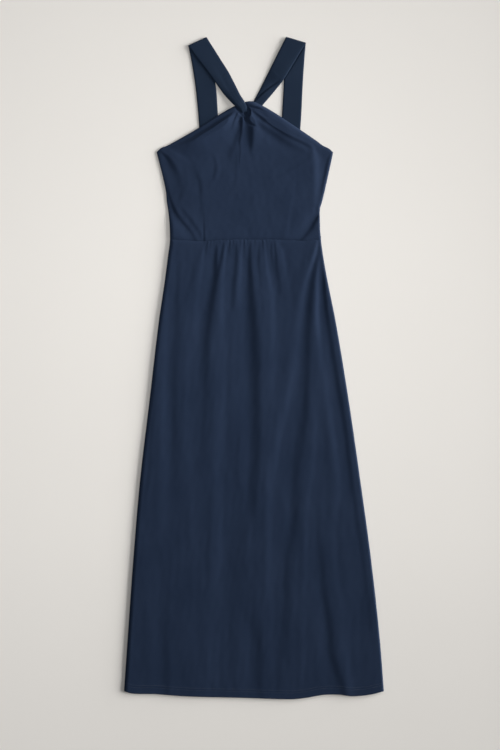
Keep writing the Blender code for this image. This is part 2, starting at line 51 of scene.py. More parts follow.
# Driving sizes, the same as in the solids.
LENGTH = 1400.0
HEM_WIDTH = 549.0
CLOTH = 1.2
BAND = 2.0  # a strap, which is doubled
SEAM_GAP = 0.3
CROWN = 6.0  # height of the front panels between their folds
NECK_ROUND = 7.0
NECK_LEAN = 0.86  # the neckline runs aslant: this share of the way along Y is the way square to it
HEM_DEPTH = 16.0
BACK_SHORT = 2.0  # how much shorter the back hangs
SEAM_DITCH = 1.4  # how far the waist seam pulls the front down
AIR = 0.1  # kept between the inner face and what it lies on

TOP = LENGTH / 2
HALF_HEM = HEM_WIDTH / 2
WAIST = 271.0
UNDERARM = 456.0
SIDE_HEM = -683.0
FRONT_SEAT = CLOTH + SEAM_GAP  # where the front ends at a side seam
STRAP_SEAT = BAND + SEAM_GAP  # the least room under the front where a strap may pass
STRAP_ROOM = (452.0, 466.0)  # the front's seat rises to the straps' between these

# Sizes of the finer form.
SHELL = 0.9  # thickness of the jersey
BAND_EDGE = 1.0  # a strap at its folded edges
LEFT_ROUND = 9.0  # how far in from a side seam the front turns down
RIGHT_ROUND = 3.6
DITCH_REACH = 3.0  # half width of the waist seam's ditch
ALLOWANCE = 7.0  # seam allowance of the skirt, turned under the bodice
TUCK = ((0.3, 0.9), (0.8, 1.7), (ALLOWANCE / 2, 1.9), (ALLOWANCE, 1.9))  # how far on and how far down it runs
GATHER_WIDE = 2.6  # half width at the seam
GATHER_WIDENS = 0.5  # share that it widens in one reach down
GATHER_WIDEST = 2.5  # reaches down after which it widens no more
GATHER_PUFF = 0.7  # lift of the gathered stretch as a whole
GATHER_PUFF_FALL = 34.0  # how far below the seam it dies away
GATHER_STARTS = (-108.0, -96.0)
GATHER_ENDS = (46.0, 58.0)
HEM_FALL = -600.0  # below this the skirt sinks towards its hem
HEM_DROP = 0.8
HEM_RISE = 0.35  # the second layer in the hem
HEM_STEP = 2.5  # how wide its step is
HEM_ROUND = 1.6  # the hem's edge turns down within this
HEM_TURN = 0.5  # and by so much
STITCH_GROOVE = 0.22
STITCH_GROOVE_WIDE = 0.9  # half width
WALL_LEAST = 0.05  # least wall where the cloth turns sharply
SKIRT_SINK = 0.2  # how far below its seat the front skirt's inner face may be
LINE_STEPS = 6  # points along the line of a fold between two of its path
FOLD_REACH = 5.5  # half widths beyond which a fold is not felt
FLANK_FADES = 3.0  # half widths from which a flank fades out
ROLL_TAIL = 3.5  # how much wider a roll is on its gentle side
STITCH_LONG = 2.6
STITCH_PITCH = 3.4
STITCH_THICK = 0.28
STITCH_SIDES = 6
STITCH_PROFILE = ((0.0, 0.05), (0.12, 0.8), (0.5, 1.0), (0.88, 0.8), (1.0, 0.05))  # (along it, its thickness)
STITCH_UP = 0.04  # from the cloth's face up to the middle of a stitch
STITCH_MARGIN = 3.0  # from a side seam to the first stitch
TWIN_GAP = 4.5  # between the two rows of stitching in the hem
HEM_SEAMS = (HEM_DEPTH - TWIN_GAP / 2, HEM_DEPTH + TWIN_GAP / 2)
BACK_FLAT = (4.0, 24.0)  # the back's folds grow to their full height between these distances from its sides
BACK_LIFT = 1.4  # the most that they lift it
BACK_ROUND = 3.0  # its sides are rounded up within this
BACK_ROUND_LIFT = 0.25
BACK_SEAM_GAP = 0.1  # between the back skirt and the back bodice
BACK_SEAM_LIFT = 0.35
BACK_SEAM_WIDE = 2.0

# Unevenness of the cloth: so many waves between two lengths, whose sum is scaled to a height. They run mostly
# up and down when lean is small.
Ripple = namedtuple("Ripple", "height waves shortest longest lean")
RIPPLE_BEND = 0.6
RIPPLE_BEND_LENGTHS = (80.0, 200.0)
RIPPLES_FROM_SEAM = 60.0  # below the waist seam the long ones grow to their height within this
SKIRT_LONG = Ripple(0.16, 14, 34.0, 90.0, 0.12)
SKIRT_SHORT = Ripple(0.07, 18, 12.0, 30.0, 0.5)
BODICE_LONG = Ripple(0.12, 14, 30.0, 80.0, 0.8)
BODICE_SHORT = Ripple(0.06, 18, 11.0, 26.0, 0.8)

# Looks.
FUZZ_SHARE = 0.35  # how much the fuzz counts beside the dye
PAINTED_HEM_SHADE = 0.25  # how far painted shade moves the cloth's colour ramp for each metre along Y, darker towards the hem
CLOTH_COLOURS = ((0.0117, 0.0197, 0.0402), (0.0167, 0.0267, 0.0522))
BAND_COLOURS = ((0.0089, 0.0157, 0.0298), (0.0127, 0.0213, 0.0388))
THREAD_COLOURS = ((0.0, (0.007, 0.012, 0.022)), (1.0, (0.014, 0.022, 0.038)))
FLOOR_COLOURS = ((0.0, (0.806, 0.785, 0.755)), (1.0, (0.826, 0.806, 0.776)))
FLOOR_PAINTED_SHADE = ((0.0, 0.935), (0.28, 0.99), (0.62, 0.98), (1.0, 0.945))  # painted shade, as a factor on the floor's colour, from the hem's end to the neck's
FLOOR_SEEN = 0.8  # metres to each end of that
FLOOR_HALF = 4000.0
FLOOR_SINK = 0.3  # kept between the surface and the cloth
SEEN_HEIGHT = 1.586  # metres of the surface from the picture's lower edge to its upper one
SEEN_FROM = (-0.00835, -0.0151, 3.6)  # metres


def rows_of(kind, rows):
    return [kind(*row) for row in rows]


# The laid dress's side edges, from hem to underarm.
Side = namedtuple("Side", "y left right")
SIDES = rows_of(Side, [
    (SIDE_HEM, -HALF_HEM, HALF_HEM), (-575, -267, 266), (-406, -255, 247.5), (-237, -240.5, 224.5),
    (-68, -220.5, 200), (101, -200.5, 172), (186, -188, 155), (237, -181.5, 146), (WAIST, -177.5, 141.5),
    (305, -178.5, 139.5), (338, -182, 139.8), (350, -184, 143.6), (372, -186, 149), (406, -193, 156.5),
    (440, -201.5, 164), (UNDERARM, -205.5, 167),
])

Point = namedtuple("Point", "x y")
WAIST_SEAM = rows_of(Point, [
    (-178, 272), (-140, 269), (-106, 267.5), (-78, 269.5), (-20, 271), (45, 271), (98, 268.5),
    (142, 271.5),
])

NECKLINE = rows_of(Point, [
    (-205.5, 456), (-197, 464), (-184, 469.2), (-172, 475.6), (-122, 504), (-71, 536.5), (-45, 551.2),
    (-22, 561), (-6, 563.5), (12, 557), (31, 547), (81, 514.4), (132, 480), (146, 469.6), (159, 463),
    (167, 456),
])

BACK_EDGE = rows_of(Point, [
    (-205.5, 455), (-150, 464), (-114, 470), (-71, 470), (-8, 464), (55, 470), (95, 470), (130, 464),
    (167, 455),
])

Hem = namedtuple("Hem", "share y")
HEM = rows_of(Hem, [
    (0, -683), (0.03, -687.5), (0.12, -689), (0.23, -693.5), (0.46, -697), (0.645, -TOP), (0.70, -697),
    (0.77, -690.5), (0.82, -690), (0.88, -693.5), (0.95, -690), (1, -683),
])

# Gathers along the waist seam: where one starts, how far down it runs, how steeply the cloth climbs to its
# right there and how far it drifts sideways along its run.
Gather = namedtuple("Gather", "x reach climb drift")
GATHERS = rows_of(Gather, [
    (-104, 9, 0.104, -1), (-97.5, 22, 0.230, -2), (-90.5, 14, 0.167, -2), (-84, 10, 0.146, -1),
    (-71.5, 12, 0.146, -1), (-57.5, 9, 0.104, 0), (-50.5, 20, 0.251, -1), (-43.5, 10, 0.146, 0),
    (-29, 9, 0.125, 0), (-20.5, 24, 0.251, 0), (-13.5, 8, 0.125, 0), (2, 11, 0.146, 0),
    (18, 20, 0.230, 1), (26.5, 12, 0.167, 1), (32, 8, 0.104, 1), (51, 9, 0.084, 2),
])

# A fold follows its path, whose points are (x, y, half width, high). The cloth climbs to the left of a flank
# as it runs, by high millimetres for each millimetre at its line. A crease is lifted by high along its line,
# and so is a roll, which is steep to the right of its run and gentle to the left.
Fold = namedtuple("Fold", "name kind path")
SKIRT_FOLDS = [
    Fold("left_gather", "flank", [
        (-78, 264, 3, 0.065), (-80, 243, 7, 0.26), (-82, 190, 12, 0.273), (-91, 130, 16, 0.26),
        (-101, 40, 18, 0.182), (-102, -60, 20, 0.085), (-109, -220, 20, 0.039),
    ]),
    Fold("left_twin", "flank", [
        (-64, 264, 3, 0.098), (-67, 243, 6, 0.208), (-73, 212, 7, 0.195), (-79, 188, 7, 0.033),
    ]),
    Fold("left_twin_crest", "flank", [
        (-58, 264, 4, -0.088), (-60, 245, 5, -0.188), (-63, 215, 7, -0.15), (-66, 182, 9, -0.125),
        (-67, 118, 14, -0.125), (-66, 38, 18, -0.07), (-66, -60, 20, -0.08), (-74, -165, 20, -0.09),
        (-75, -330, 22, -0.085), (-75, -400, 24, -0.075), (-90, -500, 26, -0.055), (-90, -600, 26, -0.05),
        (-98, -690, 26, -0.04),
    ]),
    Fold("third_gather", "flank", [
        (-37, 264, 3, 0.091), (-37, 235, 7, 0.195), (-41, 190, 11, 0.195), (-44, 145, 12, 0.143),
        (-45, 108, 11, 0.013),
    ]),
    Fold("third_crest", "flank", [
        (-26, 258, 4, -0.06), (-27, 238, 6, -0.11), (-29, 200, 9, -0.1), (-31, 160, 11, -0.075),
        (-29, 110, 12, -0.045), (-26, 50, 14, -0.01),
    ]),
    Fold("centre", "flank", [
        (-7, 264, 4, 0.117), (-9, 235, 8, 0.273), (-7, 180, 12, 0.312), (-4, 130, 17, 0.273),
        (1, 40, 20, 0.227), (4, -80, 20, 0.182), (4, -180, 20, 0.143), (-5, -290, 22, 0.104),
    ]),
    Fold("centre_low", "flank", [
        (-5, -290, 20, 0.01), (-28, -390, 24, 0.05), (-20, -500, 26, 0.045), (8, -570, 26, 0.06),
        (8, -660, 24, 0.05),
    ]),
    Fold("centre_left_low", "flank", [
        (-37, -100, 9, 0.005), (-33, -165, 9, 0.045), (-35, -220, 9, 0.055), (-30, -290, 9, 0.01),
    ]),
    Fold("short_right", "flank", [
        (12, 264, 3, 0.05), (10, 235, 6, 0.13), (13, 190, 8, 0.09), (17, 140, 9, 0.05), (22, 90, 9, 0.005),
    ]),
    Fold("short_crest", "flank", [
        (23, 256, 4, -0.06), (25, 238, 6, -0.13), (29, 207, 8, -0.14), (35, 175, 11, -0.14),
        (39, 140, 14, -0.12), (42, 80, 18, -0.09), (43, 20, 18, -0.06), (40, -50, 18, -0.01),
    ]),
    Fold("right_twin", "flank", [
        (37, 264, 3, 0.11), (37, 243, 5, 0.16), (39, 222, 5, 0.11), (42, 200, 5, 0.01),
    ]),
    Fold("right_gather", "flank", [
        (44, 264, 3, 0.13), (46, 240, 6, 0.208), (48, 207, 9, 0.182), (53, 178, 10, 0.078),
        (58, 145, 10, 0.007),
    ]),
    Fold("right_gather_crest", "flank", [
        (53, 262, 4, -0.03), (60, 245, 6, -0.11), (65, 215, 8, -0.1), (70, 182, 10, -0.07),
        (76, 150, 11, -0.01),
    ]),
    Fold("beside_crest", "flank", [
        (113, 262, 8, 0.05), (107, 228, 9, 0.05), (95, 200, 12, 0.05), (87, 155, 13, 0.02),
        (77, 110, 13, 0.005),
    ]),
    Fold("right_crest", "flank", [
        (134, 264, 5, -0.315), (130, 243, 7, -0.403), (122, 218, 8, -0.35), (111, 185, 10, -0.228),
        (101, 135, 13, -0.175), (92, 60, 16, -0.1), (83, -20, 17, -0.12), (68, -80, 18, -0.12),
        (50, -165, 17, -0.1), (38, -230, 17, -0.085), (34, -330, 18, -0.075), (32, -460, 18, -0.05),
        (34, -600, 18, -0.025),
    ]),
    Fold("right_trough", "flank", [
        (133, 240, 5, 0.033), (128, 207, 7, 0.156), (121, 160, 10, 0.195), (115, 90, 13, 0.208),
        (113, 0, 15, 0.14), (107, -100, 17, 0.13), (90, -210, 18, 0.12), (86, -320, 18, 0.11),
        (72, -410, 18, 0.105), (70, -500, 18, 0.085), (60, -600, 20, 0.055), (52, -670, 20, 0.03),
    ]),
    Fold("outer_crest", "flank", [
        (139, 232, 5, -0.088), (135, 200, 7, -0.245), (134, 152, 9, -0.333), (134, 100, 10, -0.28),
        (139, 45, 12, -0.11), (150, -20, 14, -0.09), (160, -90, 13, -0.1), (170, -165, 13, -0.11),
        (179, -250, 14, -0.09), (168, -330, 14, -0.06), (172, -420, 14, -0.06), (186, -510, 16, -0.055),
        (194, -610, 15, -0.065), (210, -690, 12, -0.05),
    ]),
    Fold("between_crests", "flank", [
        (146, -60, 7, 0.005), (150, -130, 8, 0.035), (151, -200, 8, 0.035), (142, -270, 8, 0.01),
    ]),
    Fold("inner_crest_low", "flank", [
        (126, -60, 10, -0.03), (128, -165, 11, -0.07), (120, -230, 12, -0.075), (112, -320, 13, -0.05),
        (110, -440, 14, -0.06), (108, -560, 14, -0.035), (101, -660, 14, -0.03),
    ]),
    Fold("right_seam", "flank", [
        (146, 204, 5, 0.096), (148, 180, 6, 0.384), (151, 140, 7, 0.384), (159, 80, 9, 0.216),
        (173, -9, 10, 0.216), (190, -110, 10, 0.204), (204, -220, 10, 0.162), (219, -330, 10, 0.1),
        (235, -440, 10, 0.085), (243, -510, 10, 0.075), (251, -580, 9, 0.02),
    ]),
    Fold("right_hem", "flank", [
        (130, -260, 12, 0.015), (133, -330, 13, 0.05), (142, -390, 13, 0.085), (149, -470, 14, 0.12),
        (160, -550, 14, 0.145), (166, -610, 14, 0.145), (182, -660, 14, 0.14), (192, -705, 14, 0.125),
    ]),
    Fold("left_slope", "flank", [
        (-113, 262, 5, 0.015), (-115, 243, 7, 0.06), (-124, 215, 10, 0.055), (-134, 180, 12, 0.05),
        (-142, 148, 12, 0.04), (-150, 115, 12, 0.005),
    ]),
    Fold("left_slope_crest", "flank", [
        (-105, 262, 4, -0.09), (-107, 243, 6, -0.12), (-110, 215, 8, -0.1), (-117, 170, 11, -0.075),
        (-119, 118, 12, -0.06), (-128, 60, 15, -0.045), (-140, -20, 16, -0.025), (-141, -110, 16, -0.03),
        (-136, -200, 16, -0.005),
    ]),
    Fold("left_long", "flank", [
        (-160, 210, 9, 0.03), (-162, 152, 13, 0.1), (-161, 80, 15, 0.085), (-166, 0, 16, 0.075),
        (-168, -80, 16, 0.05), (-166, -165, 16, 0.055), (-169, -260, 15, 0.04), (-172, -340, 14, 0.005),
    ]),
    Fold("left_long_crest", "flank", [
        (-181, 160, 8, -0.02), (-184, 100, 9, -0.05), (-187, 38, 10, -0.065), (-190, -60, 11, -0.07),
        (-190, -165, 11, -0.075), (-190, -260, 11, -0.035), (-190, -330, 11, -0.005),
    ]),
    Fold("left_edge", "flank", [
        (-205, -10, 8, 0.01), (-211, -70, 9, 0.04), (-218, -150, 9, 0.06), (-222, -220, 9, 0.07),
        (-233, -290, 8, 0.035),
    ]),
    Fold("left_side_low", "flank", [
        (-209, -290, 12, 0.025), (-205, -370, 14, 0.045), (-189, -440, 16, 0.04), (-188, -520, 18, 0.055),
        (-187, -600, 18, 0.05), (-187, -700, 18, 0.05),
    ]),
]
BODICE_FOLDS = [
    Fold("left_neck_roll", "roll", [
        (-40, 537, 4, 0.3), (-55, 526, 4.5, 2.0), (-73, 512, 5, 2.6), (-91, 499.5, 5, 2.6),
        (-109, 488.5, 5, 2.3), (-127, 478, 5, 1.7), (-143, 470, 5, 0.9), (-158, 464, 5, 0.2),
    ]),
    Fold("left_neck_fall", "flank", [
        (-42, 541, 4, 0.10), (-54, 531.5, 7, 0.60), (-71, 520, 8, 0.78), (-91, 507, 8, 0.78),
        (-111, 495.5, 8, 0.72), (-131, 484.5, 8, 0.60), (-150, 476, 6.5, 0.50), (-168, 469, 5, 0.40),
        (-186, 461, 4, 0.10),
    ]),
    Fold("right_neck_crease", "flank", [
        (-1, 541, 3.5, 0.30), (17, 527, 5, 0.72), (38, 512, 6.5, 0.70), (59, 498, 7, 0.62),
        (77, 487, 7, 0.52), (101, 476, 7, 0.38), (119, 466, 7, 0.18), (128, 460, 6, 0.02),
    ]),
    Fold("right_neck_shade", "flank", [
        (6, 518, 9, 0.14), (26, 505, 13, 0.42), (48, 491, 14, 0.40), (68, 477, 15, 0.32),
        (90, 465, 14, 0.17), (110, 455, 11, 0.04),
    ]),
    Fold("centre_left", "flank", [
        (-25, 533, 4, 0.50), (-26, 524, 5, 0.90), (-27, 509, 5.5, 0.66), (-28, 494, 5.5, 0.40),
        (-30.5, 477, 4.5, 0.26), (-29, 460, 4, 0.12), (-30.5, 440, 2.5, 0.14), (-31, 425, 2.5, 0.02),
    ]),
    Fold("centre_left_shade", "flank", [
        (-32, 514, 6, 0.06), (-34, 497, 8, 0.26), (-39, 479, 13, 0.18), (-47, 460, 15, 0.12),
        (-54, 440, 14, 0.02),
    ]),
    Fold("knot_fan", "flank", [
        (-14, 524, 22, 0.16), (-12, 506, 28, 0.20), (-10, 484, 32, 0.11), (-10, 458, 32, 0.01),
    ]),
    Fold("right_neck_band", "flank", [
        (2, 551, 5, 0.06), (22, 535, 6, 0.15), (43, 520, 7, 0.17), (64, 506, 7, 0.16), (82, 495, 7, 0.14),
        (106, 484, 7, 0.10), (126, 472, 6, 0.02),
    ]),
    Fold("centre_right", "flank", [
        (-17, 526, 4, 0.30), (-10, 515, 7, 0.50), (-6, 503, 9, 0.46), (-6, 488, 10, 0.40),
        (-6.5, 472, 9, 0.30), (-7, 458, 7, 0.14), (-7, 446, 7, 0.02),
    ]),
    Fold("centre_faint", "flank", [
        (-37, 450, 6, 0.02), (-37, 436, 6, 0.07), (-38, 408, 6, 0.06), (-41, 385, 6, 0.01),
    ]),
    Fold("leaf_crease", "crease", [
        (-22, 534, 2.6, -2.6), (-18, 527, 3.2, -4.2), (-12, 519, 3.0, -3.8), (-5, 513, 2.8, -2.6),
        (3, 510, 2.4, -0.5),
    ]),
    Fold("leaf", "crease", [
        (-11, 545, 4, 1.0), (-8, 534, 5.5, 2.0), (-2, 522, 5.5, 1.9), (3, 514, 4.5, 0.9),
    ]),
    Fold("upper_crease", "crease", [
        (-12, 553, 1.8, -1.0), (-6, 550, 1.8, -1.8), (2, 548.5, 1.8, -1.7), (12, 546, 1.8, -0.9),
        (20, 542, 1.8, -0.1),
    ]),
    Fold("loop", "crease", [(-10, 557, 2.5, 0.8), (2, 554, 3, 1.3), (14, 550, 3, 1.0), (30, 541, 3, 0.2)]),
    Fold("left_of_knot", "flank", [
        (-32, 543, 2.5, 0.30), (-37, 533, 3, 0.45), (-41, 523, 4, 0.38), (-45, 512, 5, 0.20),
        (-48, 500, 6, 0.02),
    ]),
    Fold("under_knot", "flank", [
        (-20, 531, 2, 0.4), (-18, 524, 2.2, 0.8), (-15, 517, 2.2, 0.5), (-13, 510, 2.2, 0.1),
    ]),
    Fold("left_dart", "flank", [
        (-128, 431, 7, 0.04), (-120, 408, 8, 0.09), (-113, 384, 7, 0.12), (-112, 355, 6, 0.11),
        (-109, 323, 6, 0.10), (-107, 290, 5, 0.12), (-106, 270, 5, 0.12),
    ]),
    Fold("left_dart_seam", "crease", [
        (-108, 345, 1.6, -0.05), (-107, 310, 1.6, -0.35), (-106.5, 285, 1.8, -0.8), (-106, 270, 1.8, -1.0),
    ]),
    Fold("right_dart", "flank", [
        (88, 425, 6, -0.02), (84, 372, 7, -0.06), (76, 320, 7, -0.06), (70, 272, 6, -0.05),
    ]),
    Fold("left_pull", "flank", [
        (-87, 451, 5, 0.03), (-83, 438, 5, 0.13), (-81, 424, 5, 0.14), (-84, 406, 5, 0.12),
        (-89, 388, 5, 0.02),
    ]),
    Fold("left_pull_crest", "flank", [
        (-76, 446, 6, -0.03), (-72, 425, 6, -0.09), (-75, 405, 6, -0.07), (-78, 390, 6, -0.01),
    ]),
    Fold("left_underarm", "flank", [
        (-197, 457, 3, 0.25), (-190, 451, 4, 0.44), (-182, 443, 7, 0.44), (-173, 430, 10, 0.32),
        (-165, 414, 12, 0.18), (-157, 396, 13, 0.10), (-151, 374, 12, 0.03),
    ]),
    Fold("underarm_crest", "flank", [
        (-176, 459, 6, -0.10), (-160, 450, 8, -0.14), (-145, 441, 8, -0.08), (-134, 432, 8, -0.01),
    ]),
    Fold("left_side_fold", "roll", [
        (-127, 270, 4, -0.9), (-135, 284, 4, -1.1), (-145, 297, 4, -1.4), (-160, 315, 4, -1.8),
        (-172, 335, 4, -2.4), (-179, 352, 4, -2.2), (-184, 368, 4, -1.2),
    ]),
    Fold("left_side_second", "flank", [
        (-156, 340, 7, 0.02), (-148, 330, 7, 0.12), (-134, 312, 7, 0.16), (-116, 287, 7, 0.14),
        (-108, 271, 6, 0.10),
    ]),
    Fold("left_hip", "flank", [(-150, 378, 10, 0.02), (-157, 360, 10, 0.07), (-160, 345, 9, 0.03)]),
    Fold("right_side_fold", "roll", [
        (93, 269, 5, -1.3), (104, 279, 5, -2.0), (118, 296, 5, -2.6), (127, 312, 4.5, -2.8),
        (137, 327, 4, -2.0), (143, 337, 4, -0.4),
    ]),
    Fold("right_diagonal", "flank", [
        (112, 438, 5, 0.02), (100, 431, 5, 0.12), (83, 421, 5, 0.13), (59, 410, 5, 0.10),
        (40, 397, 5, 0.01),
    ]),
    Fold("right_diagonal_crest", "flank", [
        (106, 446, 6, -0.01), (86, 436, 6, -0.06), (62, 424, 6, -0.05), (40, 412, 6, -0.01),
    ]),
    Fold("right_side", "flank", [
        (124, 469, 6, -0.10), (128, 458, 8, -0.24), (132, 444, 12, -0.24), (134, 425, 13, -0.22),
        (134, 400, 12, -0.20), (132, 372, 10, -0.15), (129, 345, 8, -0.10), (126, 325, 7, -0.02),
    ]),
    Fold("right_seam", "flank", [
        (163, 452, 4, 0.10), (157, 440, 5, 0.26), (152, 420, 5, 0.28), (149, 404, 5, 0.26),
        (145, 384, 5, 0.18), (142, 362, 5, 0.04),
    ]),
]
BACK_FOLDS = [
    Fold("left_long", "crease", [
        (-150, 220, 8, 0.3), (-165, 20, 12, 1.0), (-178, -200, 14, 1.1), (-190, -430, 14, 0.4),
    ]),
    Fold("left_gather", "crease", [(-60, 266, 4, 1.1), (-74, 120, 8, 1.0), (-86, -60, 10, 0.2)]),
    Fold("centre", "crease", [
        (-14, 266, 4, 1.1), (-10, 90, 9, 1.1), (-6, -140, 12, 0.9), (2, -380, 14, 0.2),
    ]),
    Fold("right_gather", "crease", [(32, 266, 4, 1.1), (46, 140, 8, 1.0), (60, -20, 10, 0.2)]),
    Fold("right_long", "crease", [
        (118, 230, 8, 0.3), (128, 40, 12, 1.1), (122, -180, 14, 1.1), (104, -420, 14, 0.4),
    ]),
    Fold("left_hem", "crease", [(-196, -420, 9, 0.2), (-190, -560, 12, 0.9), (-182, -690, 14, 1.1)]),
    Fold("middle_hem", "crease", [(-40, -400, 12, 0.2), (-34, -560, 16, 0.8), (-30, -690, 18, 1.0)]),
    Fold("right_hem", "crease", [(150, -380, 9, 0.2), (168, -540, 12, 1.0), (184, -690, 15, 1.2)]),
]

# How the front bodice is crowned from side to side: (x, lift above its even level).
BODICE_CROWN = [
    (-214, -3.2), (-190, -2.6), (-165, -1.1), (-140, 0.2), (-112, 1.2), (-80, 1.5),
    (0, 1.5), (60, 1.5), (95, 1.1), (125, 0.2), (150, -1), (175, -1.9),
]
CROWN_GROWS = (290.0, 370.0)  # from none to all of it between these heights

# The twist: the left strap crosses over the gathered top of the front and dives into a hollow below it.
# The front stays below a cap there, which ends between two distances away.
CROSSING = (Point(-33.0, 558.0), Point(-20.0, 541.0))
CROSSING_CAP = 4.4
CROSSING_ENDS = (10.0, 16.0)
HOLLOW = Point(-18.5, 537.5)
HOLLOW_CAP = 1.8
HOLLOW_FLOOR = (2.0, 5.5)  # the hollow's wall climbs between these
HOLLOW_ENDS = (4.0, 9.0)
UNCAPPED = 6.0  # added to a cap where it ends

# Sections of a strap, from the back panel up to the shoulder fold and from there in to the twist.
# (x0, y0) is its outer edge and (x1, y1) its inner edge, under0 and under1 the height of its lower face
# there, and arch how far its middle is lifted.
Band = namedtuple("Band", "x0 y0 x1 y1 under0 under1 arch")
LEFT_BACK = [
    Band(-113.5, 470.6, -71.5, 470.6, 0, 0, 0),
    Band(-117.9, 536.8, -76.2, 536.8, 0, 0, 0),
    Band(-123.4, 591.8, -80.2, 591.8, 0, 0, 0),
    Band(-131.5, 645, -90, 653, 0, 0, 0),
]
LEFT_FOLD = (Point(-138.4, 679.2), Point(-99.4, 697.4))
LEFT_FRONT = [
    Band(-120.8, 655.5, -85.4, 675.5, 2.3, 2, 0.2),
    Band(-101, 630, -69.6, 650.5, 2.3, 1.6, 0.4),
    Band(-82, 603.8, -53.8, 625.6, 2.2, 1.2, 0.8),
    Band(-64.2, 579, -38.5, 596, 1.8, 1.6, 1.6),
    Band(-49.2, 562, -29, 577, 3.6, 3.4, 2.4),
    Band(-39, 552, -20, 562.5, 4.8, 4.8, 2.8),
    Band(-30.5, 544.5, -14.5, 550.5, 4.8, 4.8, 2.4),
    Band(-25.5, 538.5, -15, 540.5, 3, 3, 1),
]
RIGHT_BACK = [
    Band(95.6, 470.6, 55.4, 470.6, 0, 0, 0),
    Band(100.2, 536.8, 59.2, 536.8, 0, 0, 0),
    Band(102.8, 592, 62.4, 592, 0, 0, 0),
    Band(106.2, 645, 64.5, 650, 0, 0, 0),
]
RIGHT_FOLD = (Point(109.4, 685.2), Point(67.2, 697.9))
RIGHT_FRONT = [
    Band(93.7, 659.6, 57, 678, 2.3, 2, 0.2),
    Band(78, 634, 46, 656, 2.3, 1.6, 0.4),
    Band(62.5, 608.6, 35, 634, 2.3, 0.8, 0.6),
    Band(48.5, 591, 23, 610, 0.4, 0, 1),
    Band(34, 573.5, 11.5, 587, 0, 0, 1.4),
    Band(21, 558.5, 1, 567, 0, 0, 0.4),
    Band(12, 547, -5, 555, 0, 0, 0),
]
# Creases along a strap: across is the place between its outer edge, -1, and its inner edge, 1, at the start
# and at the end of the stretch, which is given as shares of the front leg from the shoulder to the twist.
StrapCrease = namedtuple("StrapCrease", "start end across0 across1 wide height tilt")
LEFT_CREASES = [
    StrapCrease(0.30, 1, -0.10, -0.30, 0.34, -0.20, -0.60),
    StrapCrease(0.62, 1, 0.35, 0.25, 0.22, -0.40, 0),
    StrapCrease(0, 0.5, 0.55, 0.35, 0.5, -0.30, 0),
]
RIGHT_CREASES = [
    StrapCrease(0.02, 0.95, 0.15, 0.25, 1.2, 0, -0.5),
    StrapCrease(0.48, 0.96, -1, 0.90, 0.20, -0.7, -2.6),
    StrapCrease(0.05, 0.5, 0.2, 0.1, 0.5, -0.25, 0),
]

# The right strap's back leg is puffed up beside its front leg, by the fold above. Away is the direction from
# the front leg over the back one, and the puff grows along the back leg between two heights.
PUFF_AWAY = (0.853, -0.522)
PUFF = 1.7
PUFF_STARTS = (-0.6, 1.8)
PUFF_ENDS = (4.0, 40.0)
PUFF_GROWS = (585.0, 650.0)
PUFF_EDGE = -0.97  # none outside this, at the strap's outer edge
CREASE_GROWS = 2.2  # a crease has its full height after one part in this of its stretch
BAND_LEAST = 0.1  # least thickness at a strap's edge
CREASE_LEAST = 0.15  # and under a crease

# Distances in from an edge at which the front shells have columns or rows.
EDGE_STEPS = (
    0.0, 0.25, 0.7, 1.4, 2.3, 3.4, 4.7, 6.2, 7.9,
    9.7, 11.6, 13.6, 15.7, 17.9, 20.2, 22.6, 25.2, 28.0,
)
NECK_STEPS = (0.0, 0.25, 0.7, 1.4, 2.3, 3.4, 4.8, 6.4, 8.2, 10.2)
SEAM_STEPS = (0.0, 0.25, 0.7, 1.4, 2.3, 3.6)
SEAM_STEPS_END = 5.4
SKIRT_STEPS = (0.0, 0.5, 1.2, 2.2)
SKIRT_STRETCHES = ((3.6, 44.0, 1.7), (44.0, 150.0, 3.6), (150.0, 900.0, 7.5))  # (from, to, apart)
HEM_STEPS = (
    46.0, 38.0, 31.0, 26.0, 22.8, 20.8, 19.6, 18.9, 18.25, 17.6, 16.8, 15.2,
    14.4, 13.75, 13.1, 12.2, 10.0, 7.5, 5.0, 3.2, 1.8, 0.8, 0.25, 0.0,
)
# How many columns or rows there are between those, and where along them they lie closer together, how wide
# that stretch is and how much denser.
Spread = namedtuple("Spread", "count centre wide extra")
SKIRT_MIDDLE = -26.0  # the gathers' middle, from which the centre of the skirt's columns is worked out
SKIRT_COLUMNS = Spread(215, None, 0.27, 1.5)
BODICE_COLUMNS = Spread(205, 0.5356, 0.16, 2.2)
BODICE_ROWS = Spread(128, 0.96, 0.2, 1.1)
BACK_SKIRT_COLUMNS = 140
BACK_SKIRT_ROWS = ((0.0, 12), (0.04, 120), (0.98, 8))  # where each stretch starts, and its number of rows
BACK_BODICE_COLUMNS = 110
BACK_BODICE_ROWS = ((0.0, 8), (0.06, 50), (0.95, 8))
STRAP_COLUMNS = 37
STRAP_ROWS = 110  # in each leg
FOLD_ROWS = 13  # round the shoulder fold


def smooth(at, xs, ys):
    """A curve through the points (xs, ys) without overshoot, read at the given places."""
    xs, ys, at = np.asarray(xs, float), np.asarray(ys, float), np.asarray(at, float)
    steps = np.diff(xs)
    rises = np.diff(ys) / steps
    slopes = np.concatenate([rises[:1], (rises[:-1] + rises[1:]) / 2, rises[-1:]])
    slopes[1:-1][rises[:-1] * rises[1:] <= 0] = 0.0
    at = np.clip(at, xs[0], xs[-1])
    i = np.clip(np.searchsorted(xs, at, side="right") - 1, 0, len(steps) - 1)
    t = (at - xs[i]) / steps[i]
    start = ys[i] * (1 + 2 * t) * (1 - t) ** 2 + steps[i] * slopes[i] * t * (1 - t) ** 2
    end = ys[i + 1] * t**2 * (3 - 2 * t) - steps[i] * slopes[i + 1] * t**2 * (1 - t)
    return start + end


def ramp(value, low, high):
    """0 below low and 1 above high, with a soft change between them."""
    t = np.clip((value - low) / (high - low), 0.0, 1.0)
    return t * t * (3 - 2 * t)


